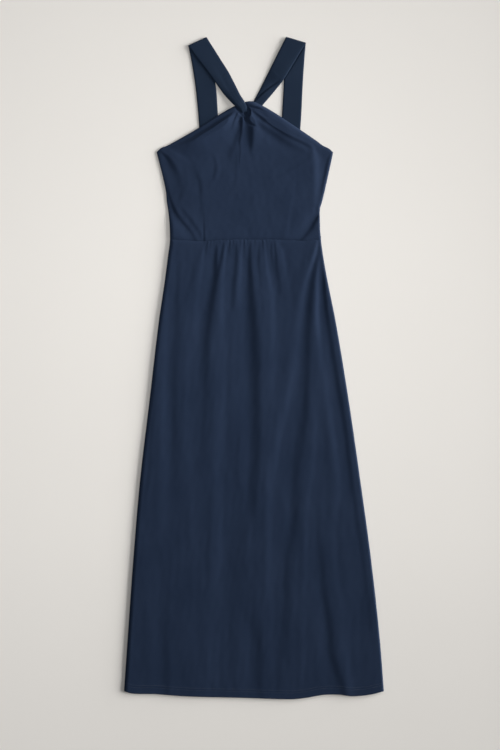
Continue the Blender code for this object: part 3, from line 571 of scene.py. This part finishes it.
def rounded(inward, radius):
    """How far up a quarter round the cloth is at a distance in from an edge."""
    share = np.clip(1 - inward / radius, 0.0, 1.0)
    return np.sqrt(1 - share**2)


def side_edges(y):
    ys = [row.y for row in SIDES]
    return smooth(y, ys, [row.left for row in SIDES]), smooth(y, ys, [row.right for row in SIDES])


def read_edge(table, x):
    return smooth(x, [point.x for point in table], [point.y for point in table])


def hem_line(share):
    return smooth(share, [point.share for point in HEM], [point.y for point in HEM])


def seam_ditch(away):
    """How far the waist seam pulls the cloth down at a distance from it."""
    return SEAM_DITCH * np.exp(-((away / DITCH_REACH) ** 1.2))


def fold_line(fold):
    """Points along the fold's path, with its half width and its high at each."""
    rows = np.array(fold.path, float)
    at = np.concatenate([[0.0], np.cumsum(np.hypot(*np.diff(rows[:, :2], axis=0).T))])
    fine = np.linspace(0.0, at[-1], LINE_STEPS * (len(rows) - 1) + 1)
    path, tangents = rows[:, :2], np.gradient(rows[:, :2], at, axis=0)
    i = np.clip(np.searchsorted(at, fine, side="right") - 1, 0, len(at) - 2)
    span = (at[i + 1] - at[i])[:, None]
    t = (fine - at[i])[:, None] / span
    line = path[i] * (1 + 2 * t) * (1 - t) ** 2 + tangents[i] * span * t * (1 - t) ** 2
    line += path[i + 1] * t**2 * (3 - 2 * t) - tangents[i + 1] * span * t**2 * (1 - t)
    return line, smooth(fine, at, rows[:, 2]), smooth(fine, at, rows[:, 3])


def fold_height(fold, x, y):
    """How far one fold lifts the cloth at the points (x, y)."""
    line, wides, highs = fold_line(fold)
    reach = FOLD_REACH * wides.max()
    near = (x > line[:, 0].min() - reach) & (x < line[:, 0].max() + reach)
    near &= (y > line[:, 1].min() - reach) & (y < line[:, 1].max() + reach)
    px, py = x[near], y[near]
    best = np.full(px.shape, np.inf)
    wide, high, aside = np.ones(px.shape), np.zeros(px.shape), np.zeros(px.shape)
    for i, (here, after) in enumerate(zip(line[:-1], line[1:])):
        run = after - here
        t = np.clip(((px - here[0]) * run[0] + (py - here[1]) * run[1]) / (run @ run), 0.0, 1.0)
        dx, dy = px - here[0] - t * run[0], py - here[1] - t * run[1]
        away = np.hypot(dx, dy)
        nearer = away < best
        best = np.where(nearer, away, best)
        wide = np.where(nearer, wides[i] + t * (wides[i + 1] - wides[i]), wide)
        high = np.where(nearer, highs[i] + t * (highs[i + 1] - highs[i]), high)
        aside = np.where(nearer, (run[0] * dy - run[1] * dx) / np.hypot(*run), aside)
    lift = np.zeros(x.shape)
    if fold.kind == "flank":
        fading = 1 - ramp(best / wide, FLANK_FADES, FOLD_REACH)
        lift[near] = high * aside * (1 + (best / wide) ** 2) ** -1.5 * fading
    else:
        half = np.where((fold.kind == "roll") & (aside > 0), ROLL_TAIL * wide, wide)
        lift[near] = high * np.exp(-((best / half) ** 2))
    return lift


def folds_height(folds, x, y):
    return sum(fold_height(fold, x, y) for fold in folds)


def ripples(x, y, seed, ripple):
    """A faint unevenness of the cloth."""
    random = np.random.default_rng(seed)
    total = np.zeros(x.shape)
    for _ in range(ripple.waves):
        length = random.uniform(ripple.shortest, ripple.longest)
        angle = random.normal(0.0, ripple.lean)
        phase = random.uniform(0.0, 2 * np.pi)
        bend = random.uniform(-RIPPLE_BEND, RIPPLE_BEND)
        bend = bend * np.sin(y / random.uniform(*RIPPLE_BEND_LENGTHS) + phase)
        total += np.sin(2 * np.pi * (x * np.cos(angle) + y * np.sin(angle)) / length + phase + bend)
    return ripple.height * total / np.sqrt(ripple.waves)


def spaced(spread):
    """Shares from 0 to 1 that lie closer together around a centre."""
    fine = np.linspace(0.0, 1.0, 2001)
    density = np.cumsum(1 + spread.extra * np.exp(-(((fine - spread.centre) / spread.wide) ** 4)))
    density = (density - density[0]) / (density[-1] - density[0])
    return np.interp(np.linspace(0.0, 1.0, spread.count), density, fine)


def in_stretches(stretches):
    """Shares from 0 to 1, evenly spaced within each stretch."""
    ends = [start for start, _ in stretches[1:]] + [1.0]
    parts = [np.linspace(start, end, count) for (start, count), end in zip(stretches, ends)]
    return np.concatenate([part[:-1] for part in parts[:-1]] + parts[-1:])


def panel_columns(inner, left, right):
    """X places along a row: the columns near each side edge and the inner shares between them."""
    edge = np.array(EDGE_STEPS)
    first, last = left + edge[-1], right - edge[-1]
    return np.concatenate([left + edge[:-1], first + inner * (last - first), right - edge[-2::-1]])


def inner_waist():
    left, right = side_edges(WAIST)
    return float(left) + EDGE_STEPS[-1], float(right) - EDGE_STEPS[-1]


def inner_share(x, left, right):
    """Share of the way between the columns near the left side edge and those near the right one."""
    return np.clip((x - left - EDGE_STEPS[-1]) / (right - left - 2 * EDGE_STEPS[-1]), 0, 1)


def gather_height(x, below):
    """Lift of the gathers at a place along the waist seam and a distance below it."""
    lift = GATHER_PUFF * ramp(x, *GATHER_STARTS) * (1 - ramp(x, *GATHER_ENDS))
    lift = lift * np.exp(-((below / GATHER_PUFF_FALL) ** 1.3))
    for gather in GATHERS:
        run = below / gather.reach
        aside = x - gather.x - gather.drift * run
        wide = GATHER_WIDE * (1 + GATHER_WIDENS * np.minimum(run, GATHER_WIDEST))
        lift = lift + gather.climb * np.exp(-1.2 * run**1.5) * aside * np.exp(-((aside / wide) ** 2))
    return lift


def skirt_rows():
    """Distances below the waist seam, close together at the gathers."""
    return np.concatenate([SKIRT_STEPS, *(np.arange(*stretch) for stretch in SKIRT_STRETCHES)])


def skirt_height(x, y, share, below, hem_up):
    """Height of the front skirt's outer face before its sides turn down."""
    first, last = inner_waist()
    height = CROWN + folds_height(SKIRT_FOLDS, x, y)
    height = height + gather_height(first + share * (last - first), below)
    height = height + ripples(x, y, SEED, SKIRT_LONG) * ramp(below, 0.0, RIPPLES_FROM_SEAM)
    height = height + ripples(x, y, SEED + 1, SKIRT_SHORT)
    height = height - seam_ditch(below)
    height = height - HEM_DROP * ramp(y, HEM_FALL, -TOP)
    height = height + HEM_RISE * (1 - ramp(hem_up, HEM_SEAMS[1], HEM_SEAMS[1] + HEM_STEP))
    for row in HEM_SEAMS:
        height = height - STITCH_GROOVE * np.exp(-(((hem_up - row) / STITCH_GROOVE_WIDE) ** 2))
    return np.maximum(height, FRONT_SEAT + CLOTH + AIR)


def sides_turned(x, left, right):
    """How far the front is up from its seat, where it turns down to its two side seams."""
    return rounded(x - left, LEFT_ROUND) * rounded(right - x, RIGHT_ROUND)


def front_skirt_points():
    """Outer points of the front skirt, rows from the hem up to the waist seam and on into its allowance."""
    first, last = inner_waist()
    waist_left, waist_right = side_edges(WAIST)
    inner = spaced(SKIRT_COLUMNS._replace(centre=(SKIRT_MIDDLE - first) / (last - first)))
    rows, belows, ups = [], [], []
    for distance in skirt_rows():
        left, right = side_edges(WAIST - distance)
        x = panel_columns(inner, left, right)
        share = (x - left) / (right - left)
        hem = hem_line(share)
        top = read_edge(WAIST_SEAM, waist_left + share * (waist_right - waist_left)) - SEAM_GAP / 4
        y = top + (hem - top) * distance / (WAIST - SIDE_HEM)
        rows.append((x, y))
        belows.append(top - y)
        ups.append(y - hem)
    for up in HEM_STEPS:
        left, right = side_edges(SIDE_HEM + up)
        x = panel_columns(inner, left, right)
        rows.append((x, hem_line((x - left) / (right - left)) + up))
        belows.append(np.full(x.shape, WAIST - SIDE_HEM - up))
        ups.append(np.full(x.shape, up))
    x, y = (np.array(part) for part in zip(*rows))
    below, up = np.array(belows), np.array(ups)
    left, right = x[:, :1], x[:, -1:]
    height = skirt_height(x, y, inner_share(x, left, right), below, up)
    height = height - HEM_TURN * (1 - rounded(up, HEM_ROUND))
    turned = sides_turned(x, left, right)
    z = FRONT_SEAT + (height - FRONT_SEAT) * turned
    points = np.stack([x, y, z], axis=2)
    tucked = []
    for reach, drop in TUCK:
        row = points[0].copy()
        row[:, 1] += reach
        row[:, 2] = np.maximum(row[:, 2] - drop * turned[0], FRONT_SEAT)
        tucked.append(row)
    return np.concatenate([points[::-1], np.array(tucked)])


def twist_limit(x, y):
    """How high the front may lie where the left strap crosses it."""
    start, end = (np.array(point) for point in CROSSING)
    run = end - start
    share = np.clip(((x - start[0]) * run[0] + (y - start[1]) * run[1]) / (run @ run), 0.0, 1.0)
    away = np.hypot(x - start[0] - share * run[0], y - start[1] - share * run[1])
    from_hollow = np.hypot(x - HOLLOW.x, y - HOLLOW.y)
    crossing = CROSSING_CAP + UNCAPPED * ramp(away, *CROSSING_ENDS)
    hollow = HOLLOW_CAP + (CROSSING_CAP - HOLLOW_CAP) * ramp(from_hollow, *HOLLOW_FLOOR)
    hollow += UNCAPPED * ramp(from_hollow, *HOLLOW_ENDS)
    return np.minimum(crossing, hollow)


def bodice_seat(x, y):
    """The lowest that the front bodice may lie: over the back and straps, or in the twist's hollow."""
    over_straps = FRONT_SEAT + (STRAP_SEAT - FRONT_SEAT) * ramp(y, *STRAP_ROOM)
    return np.minimum(over_straps, twist_limit(x, y) - CLOTH - AIR)


def front_bodice_points():
    """Outer points of the front bodice, rows from the waist seam up to the neckline."""
    inner = spaced(BODICE_COLUMNS)
    waist_left, waist_right = side_edges(WAIST)
    bottom_x = panel_columns(inner, waist_left, waist_right)
    top_x = panel_columns(inner, SIDES[-1].left, SIDES[-1].right)
    share = (bottom_x - waist_left) / (waist_right - waist_left)
    bottom = read_edge(WAIST_SEAM, bottom_x) + SEAM_GAP / 4
    top = read_edge(NECKLINE, top_x)
    tall = top - bottom
    ups = [distance / tall for distance in SEAM_STEPS]
    low, high = SEAM_STEPS_END / tall, 1 - NECK_STEPS[-1] / tall
    ups += [low + up * (high - low) for up in spaced(BODICE_ROWS)[:-1]]
    ups += [1 - distance / tall for distance in NECK_STEPS[::-1]]
    rows = []
    for up in ups:
        left, right = side_edges(WAIST + up * (UNDERARM - WAIST))
        straight_left = waist_left + up * (SIDES[-1].left - waist_left)
        straight_right = waist_right + up * (SIDES[-1].right - waist_right)
        x = bottom_x + up * (top_x - bottom_x)
        x += (left - straight_left) * (1 - share) + (right - straight_right) * share
        rows.append(np.stack([x, bottom + up * tall], axis=1))
    grid = np.array(rows)
    x, y = grid[..., 0], grid[..., 1]
    seat = bodice_seat(x, y)
    height = CROWN + np.interp(x, *zip(*BODICE_CROWN)) * ramp(y, *CROWN_GROWS)
    height += folds_height(BODICE_FOLDS, x, y)
    height += ripples(x, y, SEED + 2, BODICE_LONG)
    height += ripples(x, y, SEED + 3, BODICE_SHORT)
    height -= seam_ditch(y - y[:1])
    height = np.minimum(height, twist_limit(x, y))
    height = np.maximum(height, seat + CLOTH + AIR)
    turned = sides_turned(x, x[:, :1], x[:, -1:]) * rounded(NECK_LEAN * (y[-1:] - y), NECK_ROUND)
    z = seat + (height - seat) * turned
    return np.stack([x, y, z], axis=2)


def unit(vectors):
    return vectors / np.maximum(np.linalg.norm(vectors, axis=-1, keepdims=True), 1e-9)


def inner_face(points, lowest):
    """The inner side of a shell, a cloth's thickness inside and no lower than what it lies on."""
    across = np.gradient(points, axis=1)
    along = np.gradient(points, axis=0)
    inner = points - SHELL * unit(np.cross(across, along))
    inner[..., 2] = np.clip(inner[..., 2], lowest, np.maximum(points[..., 2] - WALL_LEAST, lowest))
    return inner


def add_mesh(name, points, faces, material):
    """A smooth object of one material, from points in millimetres."""
    mesh = bpy.data.meshes.new(name)
    mesh.from_pydata((np.array(points) * MM).tolist(), [], faces)
    mesh.materials.append(material)
    mesh.shade_smooth()
    obj = bpy.data.objects.new(name, mesh)
    bpy.context.scene.collection.objects.link(obj)
    return obj


def grid_mesh(name, upper, lower, material):
    """A closed shell between two grids of points, rows along +Y and columns along +X."""
    rows, columns = upper.shape[:2]
    count = rows * columns
    points = np.concatenate([upper.reshape(-1, 3), lower.reshape(-1, 3)])
    at = np.arange(count).reshape(rows, columns)
    top = np.stack([at[:-1, :-1], at[:-1, 1:], at[1:, 1:], at[1:, :-1]], axis=-1).reshape(-1, 4)
    bottom = top[:, ::-1] + count
    rim = np.concatenate([at[0, :], at[1:, -1], at[-1, -2::-1], at[-2:0:-1, 0]])
    after = np.roll(rim, -1)
    sides = np.stack([after, rim, rim + count, after + count], axis=1)
    return add_mesh(name, points, np.concatenate([top, bottom, sides]).tolist(), material)


def back_points(columns, rows, bottom_edge, top_edge, low, high):
    """Points of a flat back panel, between its two edges and the side seams."""
    shares = np.linspace(0.0, 1.0, columns)
    grid = []
    for up in rows:
        left, right = side_edges(low + up * (high - low))
        x = left + shares * (right - left)
        bottom, top = bottom_edge(shares), top_edge(shares)
        grid.append(np.stack([x, bottom + up * (top - bottom)], axis=1))
    return np.array(grid)


def back_shell(name, grid, material, seam_at_top):
    """A back panel: flat on the surface, with shallow creases that stand up from it. The waist seam is at its
    top or else at its bottom."""
    x, y = grid[..., 0], grid[..., 1]
    inward = np.minimum(x - x[:, :1], x[:, -1:] - x)
    lift = folds_height(BACK_FOLDS, x, y) * ramp(inward, *BACK_FLAT)
    lift += BACK_ROUND_LIFT * (1 - rounded(inward, BACK_ROUND))
    seam = y[-1:] if seam_at_top else y[:1]
    lift += BACK_SEAM_LIFT * np.exp(-(((y - seam) / BACK_SEAM_WIDE) ** 2))
    lift = np.clip(lift, 0.0, BACK_LIFT)
    lower = np.stack([x, y, lift], axis=2)
    upper = np.stack([x, y, lift + SHELL], axis=2)
    return grid_mesh(name, upper, lower, material)


def edge_between(table, left, right, shares):
    return read_edge(table, left + shares * (right - left))


def back_skirt(material):
    def top_edge(shares):
        return edge_between(WAIST_SEAM, *side_edges(WAIST), shares) - BACK_SEAM_GAP / 2

    def hem_edge(shares):
        return hem_line(shares) + BACK_SHORT

    rows = in_stretches(BACK_SKIRT_ROWS)
    grid = back_points(BACK_SKIRT_COLUMNS, rows, hem_edge, top_edge, SIDE_HEM, WAIST)
    return back_shell("back_skirt_cloth", grid, material, True)


def back_bodice(material):
    def bottom_edge(shares):
        return edge_between(WAIST_SEAM, *side_edges(WAIST), shares) + BACK_SEAM_GAP / 2

    def top_edge(shares):
        return edge_between(BACK_EDGE, SIDES[-1].left, SIDES[-1].right, shares)

    rows = in_stretches(BACK_BODICE_ROWS)
    grid = back_points(BACK_BODICE_COLUMNS, rows, bottom_edge, top_edge, WAIST, UNDERARM)
    return back_shell("back_bodice_cloth", grid, material, False)


def strap_rows(sections):
    """Evenly spaced rows along a strap's leg, and each one's share of the way."""
    table = np.array([tuple(row) for row in sections])
    middles = (table[:, :2] + table[:, 2:4]) / 2
    at = np.concatenate([[0.0], np.cumsum(np.hypot(*np.diff(middles, axis=0).T))])
    fine = np.linspace(0.0, at[-1], STRAP_ROWS)
    return np.stack([smooth(fine, at, column) for column in table.T], axis=1), fine / at[-1]


def fold_puff(plan, corner):
    aside = (plan[:, 0] - corner.x) * PUFF_AWAY[0] + (plan[:, 1] - corner.y) * PUFF_AWAY[1]
    return PUFF * ramp(aside, *PUFF_STARTS) * (1 - ramp(aside, *PUFF_ENDS))


def creases_lift(creases, w, at):
    """How far the creases lift a strap's face at the places w across it, at a share of its front leg."""
    lift = np.zeros(len(w))
    for crease in creases:
        run = (at - crease.start) / (crease.end - crease.start)
        if 0 < run <= 1:
            middle = crease.across0 + run * (crease.across1 - crease.across0)
            aside = (w - middle) / crease.wide
            grown = np.sin(min(run * CREASE_GROWS, 1.0) * np.pi / 2)
            lift += grown * crease.height * np.exp(-(aside**2))
            lift += grown * crease.tilt * aside * (1 + aside**2) ** -1.5
    return lift


def strap(name, back, fold, front, creases, mirrored, material):
    """One doubled band as a closed shell between its outer and inner face, folded over at the shoulder."""
    w = np.sin(np.linspace(-1.0, 1.0, STRAP_COLUMNS) * np.pi / 2)
    share = ((w + 1) / 2)[:, None]
    thick = BAND_EDGE * (1 - np.abs(w) ** 12) ** 0.5 + (BAND - BAND_EDGE) * (1 - w**24)
    thick = np.maximum(thick, BAND_LEAST)
    seat = (BAND - thick) / 4
    outer, inner = [], []

    def place(x0, y0, x1, y1):
        return np.array([[x0, y0]]) + share * (np.array([[x1, y1]]) - np.array([[x0, y0]]))

    fold_row = (*fold[0], *fold[1])
    back_rows, _ = strap_rows([*back, (*fold_row, 0.0, 0.0, 0.0)])
    for row in back_rows[:-1]:
        plan = place(*row[:4])
        puff = fold_puff(plan, fold[0]) * (w > PUFF_EDGE) * ramp(row[1], *PUFF_GROWS) if mirrored else 0.0
        outer.append(np.column_stack([plan, seat]))
        inner.append(np.column_stack([plan, seat + thick + puff]))
    line = place(*fold_row)
    across = np.array([fold[1].x - fold[0].x, fold[1].y - fold[0].y])
    outward = np.array([-across[1], across[0]]) / np.hypot(*across)
    outward = outward if outward[1] > 0 else -outward
    middle = (BAND + STRAP_SEAT) / 2
    for turn in np.radians(np.linspace(-90.0, 90.0, FOLD_ROWS)):
        for face, radius in ((outer, middle - seat), (inner, middle - seat - thick)):
            plan = line + (radius * np.cos(turn))[:, None] * outward
            face.append(np.column_stack([plan, middle + radius * np.sin(turn)]))
    front_rows, shares = strap_rows([(*fold_row, STRAP_SEAT, STRAP_SEAT, 0.0), *front])
    for row, at in zip(front_rows[1:], shares[1:]):
        plan = place(*row[:4])
        under = row[4] + share[:, 0] * (row[5] - row[4]) + row[6] * (1 - w**2)
        lift = np.maximum(creases_lift(creases, w, at), CREASE_LEAST - thick)
        outer.append(np.column_stack([plan, under + seat + thick + lift]))
        inner.append(np.column_stack([plan, under + seat]))
    outer, inner = np.array(outer), np.array(inner)
    return grid_mesh(name, *((outer, inner) if mirrored else (inner, outer)), material)


def stitches(name, places, material):
    """Short stitches laid on the cloth: places holds a start, an end and a height for each."""
    verts, faces = [], []
    sides = STITCH_SIDES
    ring = [(np.cos(a), np.sin(a)) for a in 2 * np.pi * np.arange(sides) / sides]
    for x0, y0, z0, x1, y1, z1 in places:
        start, end = np.array([x0, y0, z0]), np.array([x1, y1, z1])
        along = end - start
        side = unit(np.array([-along[1], along[0], 0.0]))
        base = len(verts)
        for at, size in STITCH_PROFILE:
            for c, s in ring:
                offset = side * c + np.array([0.0, 0.0, 1.0]) * s
                verts.append(start + at * along + STITCH_THICK / 2 * size * offset)
        for ring_start in range(base, len(verts) - sides, sides):
            for j in range(sides):
                a, b = ring_start + j, ring_start + (j + 1) % sides
                faces.append((a, b, b + sides, a + sides))
        faces.append(tuple(range(base + sides - 1, base - 1, -1)))
        faces.append(tuple(range(len(verts) - sides, len(verts))))
    return add_mesh(name, verts, faces, material)


def hem_stitch_places():
    """The twin row of stitching along the front hem."""
    places = []
    for up in HEM_SEAMS:
        left, right = (float(edge) for edge in side_edges(SIDE_HEM + up))
        starts = np.arange(left + STITCH_MARGIN, right - STITCH_MARGIN - STITCH_LONG, STITCH_PITCH)
        ends = starts + STITCH_LONG
        sides = []
        for x in (starts, ends):
            y = hem_line((x - left) / (right - left)) + up
            below = np.full(x.shape, WAIST - SIDE_HEM - up)
            height = skirt_height(x, y, inner_share(x, left, right), below, np.full(x.shape, up))
            z = FRONT_SEAT + (height - FRONT_SEAT) * sides_turned(x, left, right)
            sides.append((x, y, z + STITCH_UP))
        places += zip(*sides[0], *sides[1])
    return places


def surface(name, roughness, specular=0.5):
    """A new material with its node tree and its shader."""
    material = bpy.data.materials.new(name)
    material.use_nodes = True
    shader = material.node_tree.nodes["Principled BSDF"]
    shader.inputs["Roughness"].default_value = roughness
    shader.inputs["Specular IOR Level"].default_value = specular
    return material, material.node_tree, shader


def node(tree, kind, **inputs):
    made = tree.nodes.new(kind)
    for key, value in inputs.items():
        made.inputs[key.replace("_", " ")].default_value = value
    return made


def scaled_sum(tree, value, scale, added):
    """The socket of value times scale plus added."""
    made = tree.nodes.new("ShaderNodeMath")
    made.operation = "MULTIPLY_ADD"
    made.inputs[1].default_value = scale
    tree.links.new(value, made.inputs[0])
    tree.links.new(added, made.inputs[2])
    return made.outputs[0]


def colours_from(tree, value, stops):
    """The socket of a colour read from a row of (place, colour) by a value."""
    made = tree.nodes.new("ShaderNodeValToRGB")
    elements = made.color_ramp.elements
    for element, (position, colour) in zip(elements, (stops[0], stops[-1])):
        element.position = position
        element.color = (*colour, 1.0)
    for position, colour in stops[1:-1]:
        elements.new(position).color = (*colour, 1.0)
    tree.links.new(value, made.inputs["Fac"])
    return made.outputs["Color"]


def jersey_material(name, dark, light):
    """Navy viscose jersey: a fine fuzz, a soft sheen, a slightly uneven dye and painted shade that darkens it
    towards the hem.
    """
    material, tree, shader = surface(name, 0.80, 0.16)
    shader.inputs["Specular Tint"].default_value = (0.28, 0.48, 1.0, 1.0)
    shader.inputs["Sheen Weight"].default_value = 0.06
    shader.inputs["Sheen Roughness"].default_value = 0.45
    shader.inputs["Sheen Tint"].default_value = (0.40, 0.55, 0.85, 1.0)
    place = tree.nodes.new("ShaderNodeTexCoord").outputs["Object"]
    dye = node(tree, "ShaderNodeTexNoise", Scale=9.0, Detail=4.0, Roughness=0.6)
    fuzz = node(tree, "ShaderNodeTexNoise", Scale=900.0, Detail=2.0, Roughness=0.7)
    along = tree.nodes.new("ShaderNodeSeparateXYZ")
    for made in (dye, fuzz, along):
        tree.links.new(place, made.inputs["Vector"])
    # painted shade: the colour ramp is read lower towards the hem, along Y, on top of the dye's uneven tone
    dye_and_painted_shade = scaled_sum(tree, along.outputs["Y"], PAINTED_HEM_SHADE, dye.outputs["Fac"])
    blend = scaled_sum(tree, fuzz.outputs["Fac"], FUZZ_SHARE, dye_and_painted_shade)
    colours = colours_from(tree, blend, ((0.40, dark), (0.95, light)))
    tree.links.new(colours, shader.inputs["Base Color"])
    return material


def thread_material():
    material, tree, shader = surface("navy_thread", 0.5)
    shader.inputs["Sheen Weight"].default_value = 0.2
    place = tree.nodes.new("ShaderNodeTexCoord").outputs["Object"]
    twist = node(tree, "ShaderNodeTexNoise", Scale=2500.0, Detail=2.0)
    tree.links.new(place, twist.inputs["Vector"])
    colours = colours_from(tree, twist.outputs["Fac"], THREAD_COLOURS)
    tree.links.new(colours, shader.inputs["Base Color"])
    return material


def floor_material():
    """A pale matt surface, with painted shade that makes it a little darker towards both ends of what is
    seen.
    """
    material, tree, shader = surface("pale_surface", 0.9, 0.1)
    place = tree.nodes.new("ShaderNodeTexCoord").outputs["Object"]
    grain = node(tree, "ShaderNodeTexNoise", Scale=3.0, Detail=3.0)
    split = tree.nodes.new("ShaderNodeSeparateXYZ")
    for made in (grain, split):
        tree.links.new(place, made.inputs["Vector"])
    reach = node(tree, "ShaderNodeMapRange", From_Min=-FLOOR_SEEN, From_Max=FLOOR_SEEN)
    tree.links.new(split.outputs["Y"], reach.inputs["Value"])
    # painted shade: the floor's colour is darkened towards both ends along Y
    painted_shade = colours_from(tree, reach.outputs["Result"], [(at, (grey,) * 3) for at, grey in FLOOR_PAINTED_SHADE])
    colours = colours_from(tree, grain.outputs["Fac"], FLOOR_COLOURS)
    mixed = tree.nodes.new("ShaderNodeMix")
    mixed.data_type = "RGBA"
    mixed.blend_type = "MULTIPLY"
    mixed.inputs["Factor"].default_value = 1.0
    tree.links.new(colours, mixed.inputs[6])
    tree.links.new(painted_shade, mixed.inputs[7])
    tree.links.new(mixed.outputs[2], shader.inputs["Base Color"])
    return material


def build_dress():
    jersey = jersey_material("navy_jersey_cloth", *CLOTH_COLOURS)
    band = jersey_material("navy_jersey_band", *BAND_COLOURS)
    points = front_skirt_points()
    skirt = grid_mesh("front_skirt_cloth", points, inner_face(points, FRONT_SEAT - SKIRT_SINK), jersey)
    points = front_bodice_points()
    seat = bodice_seat(points[..., 0], points[..., 1])
    bodice = grid_mesh("front_bodice_cloth", points, inner_face(points, seat), jersey)
    pieces = {
        "front_skirt": skirt,
        "front_bodice": bodice,
        "back_skirt": back_skirt(jersey),
        "back_bodice": back_bodice(jersey),
        "strap_left": strap("strap_left_cloth", LEFT_BACK, LEFT_FOLD, LEFT_FRONT, LEFT_CREASES, False, band),
        "strap_right": strap(
            "strap_right_cloth", RIGHT_BACK, RIGHT_FOLD, RIGHT_FRONT, RIGHT_CREASES, True, band
        ),
    }
    for name, piece in pieces.items():
        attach(piece, "root")
        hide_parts(name)
    hem_thread = stitches("front_hem_stitching", hem_stitch_places(), thread_material())
    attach(hem_thread, "root")


def build_stage():
    plan = ((-1, -1), (1, -1), (1, 1), (-1, 1))
    corners = [(x * FLOOR_HALF, y * FLOOR_HALF, -FLOOR_SINK) for x, y in plan]
    add_mesh("surface", corners, [(0, 1, 2, 3)], floor_material())


def add_sun(name, azimuth, elevation, energy, spread, colour):
    """A broad far light, from an azimuth measured from +X towards +Y and an elevation above the surface."""
    light = bpy.data.lights.new(name, "SUN")
    light.energy = energy
    light.angle = np.radians(spread)
    light.color = colour
    holder = bpy.data.objects.new(name, light)
    holder.rotation_euler = (0.0, np.radians(90.0 - elevation), np.radians(azimuth))
    bpy.context.scene.collection.objects.link(holder)


def build_light():
    """Soft low light from the right and the top, a broad light overhead and a pale surround."""
    world = bpy.data.worlds.new("surround")
    world.use_nodes = True
    background = world.node_tree.nodes["Background"]
    background.inputs["Color"].default_value = (0.98, 0.99, 1.0, 1.0)
    background.inputs["Strength"].default_value = 0.15
    bpy.context.scene.world = world
    add_sun("window", azimuth=1.0, elevation=15.6, energy=5.4, spread=28.0, colour=(1.0, 0.985, 0.965))
    add_sun("second_window", azimuth=32.0, elevation=11.0, energy=2.5, spread=24.0, colour=(1.0, 0.99, 0.97))
    area = bpy.data.lights.new("overhead", "AREA")
    area.shape = "DISK"
    area.size = 0.9
    area.energy = 3.6
    area.color = (1.0, 0.99, 0.975)
    overhead = bpy.data.objects.new("overhead", area)
    overhead.location = (0.0, 0.30, 1.0)
    overhead.visible_camera = False
    bpy.context.scene.collection.objects.link(overhead)


def build_camera():
    """Straight down, framed as the dress lies in its picture."""
    camera = bpy.data.cameras.new("camera")
    camera.sensor_fit = "VERTICAL"
    camera.sensor_height = 36.0
    camera.lens = camera.sensor_height * SEEN_FROM[2] / SEEN_HEIGHT
    camera.clip_end = 20.0
    holder = bpy.data.objects.new("camera", camera)
    holder.location = SEEN_FROM
    bpy.context.scene.collection.objects.link(holder)
    bpy.context.scene.camera = holder
    bpy.context.scene.view_settings.view_transform = "Standard"


build_dress()
build_stage()
build_light()
build_camera()
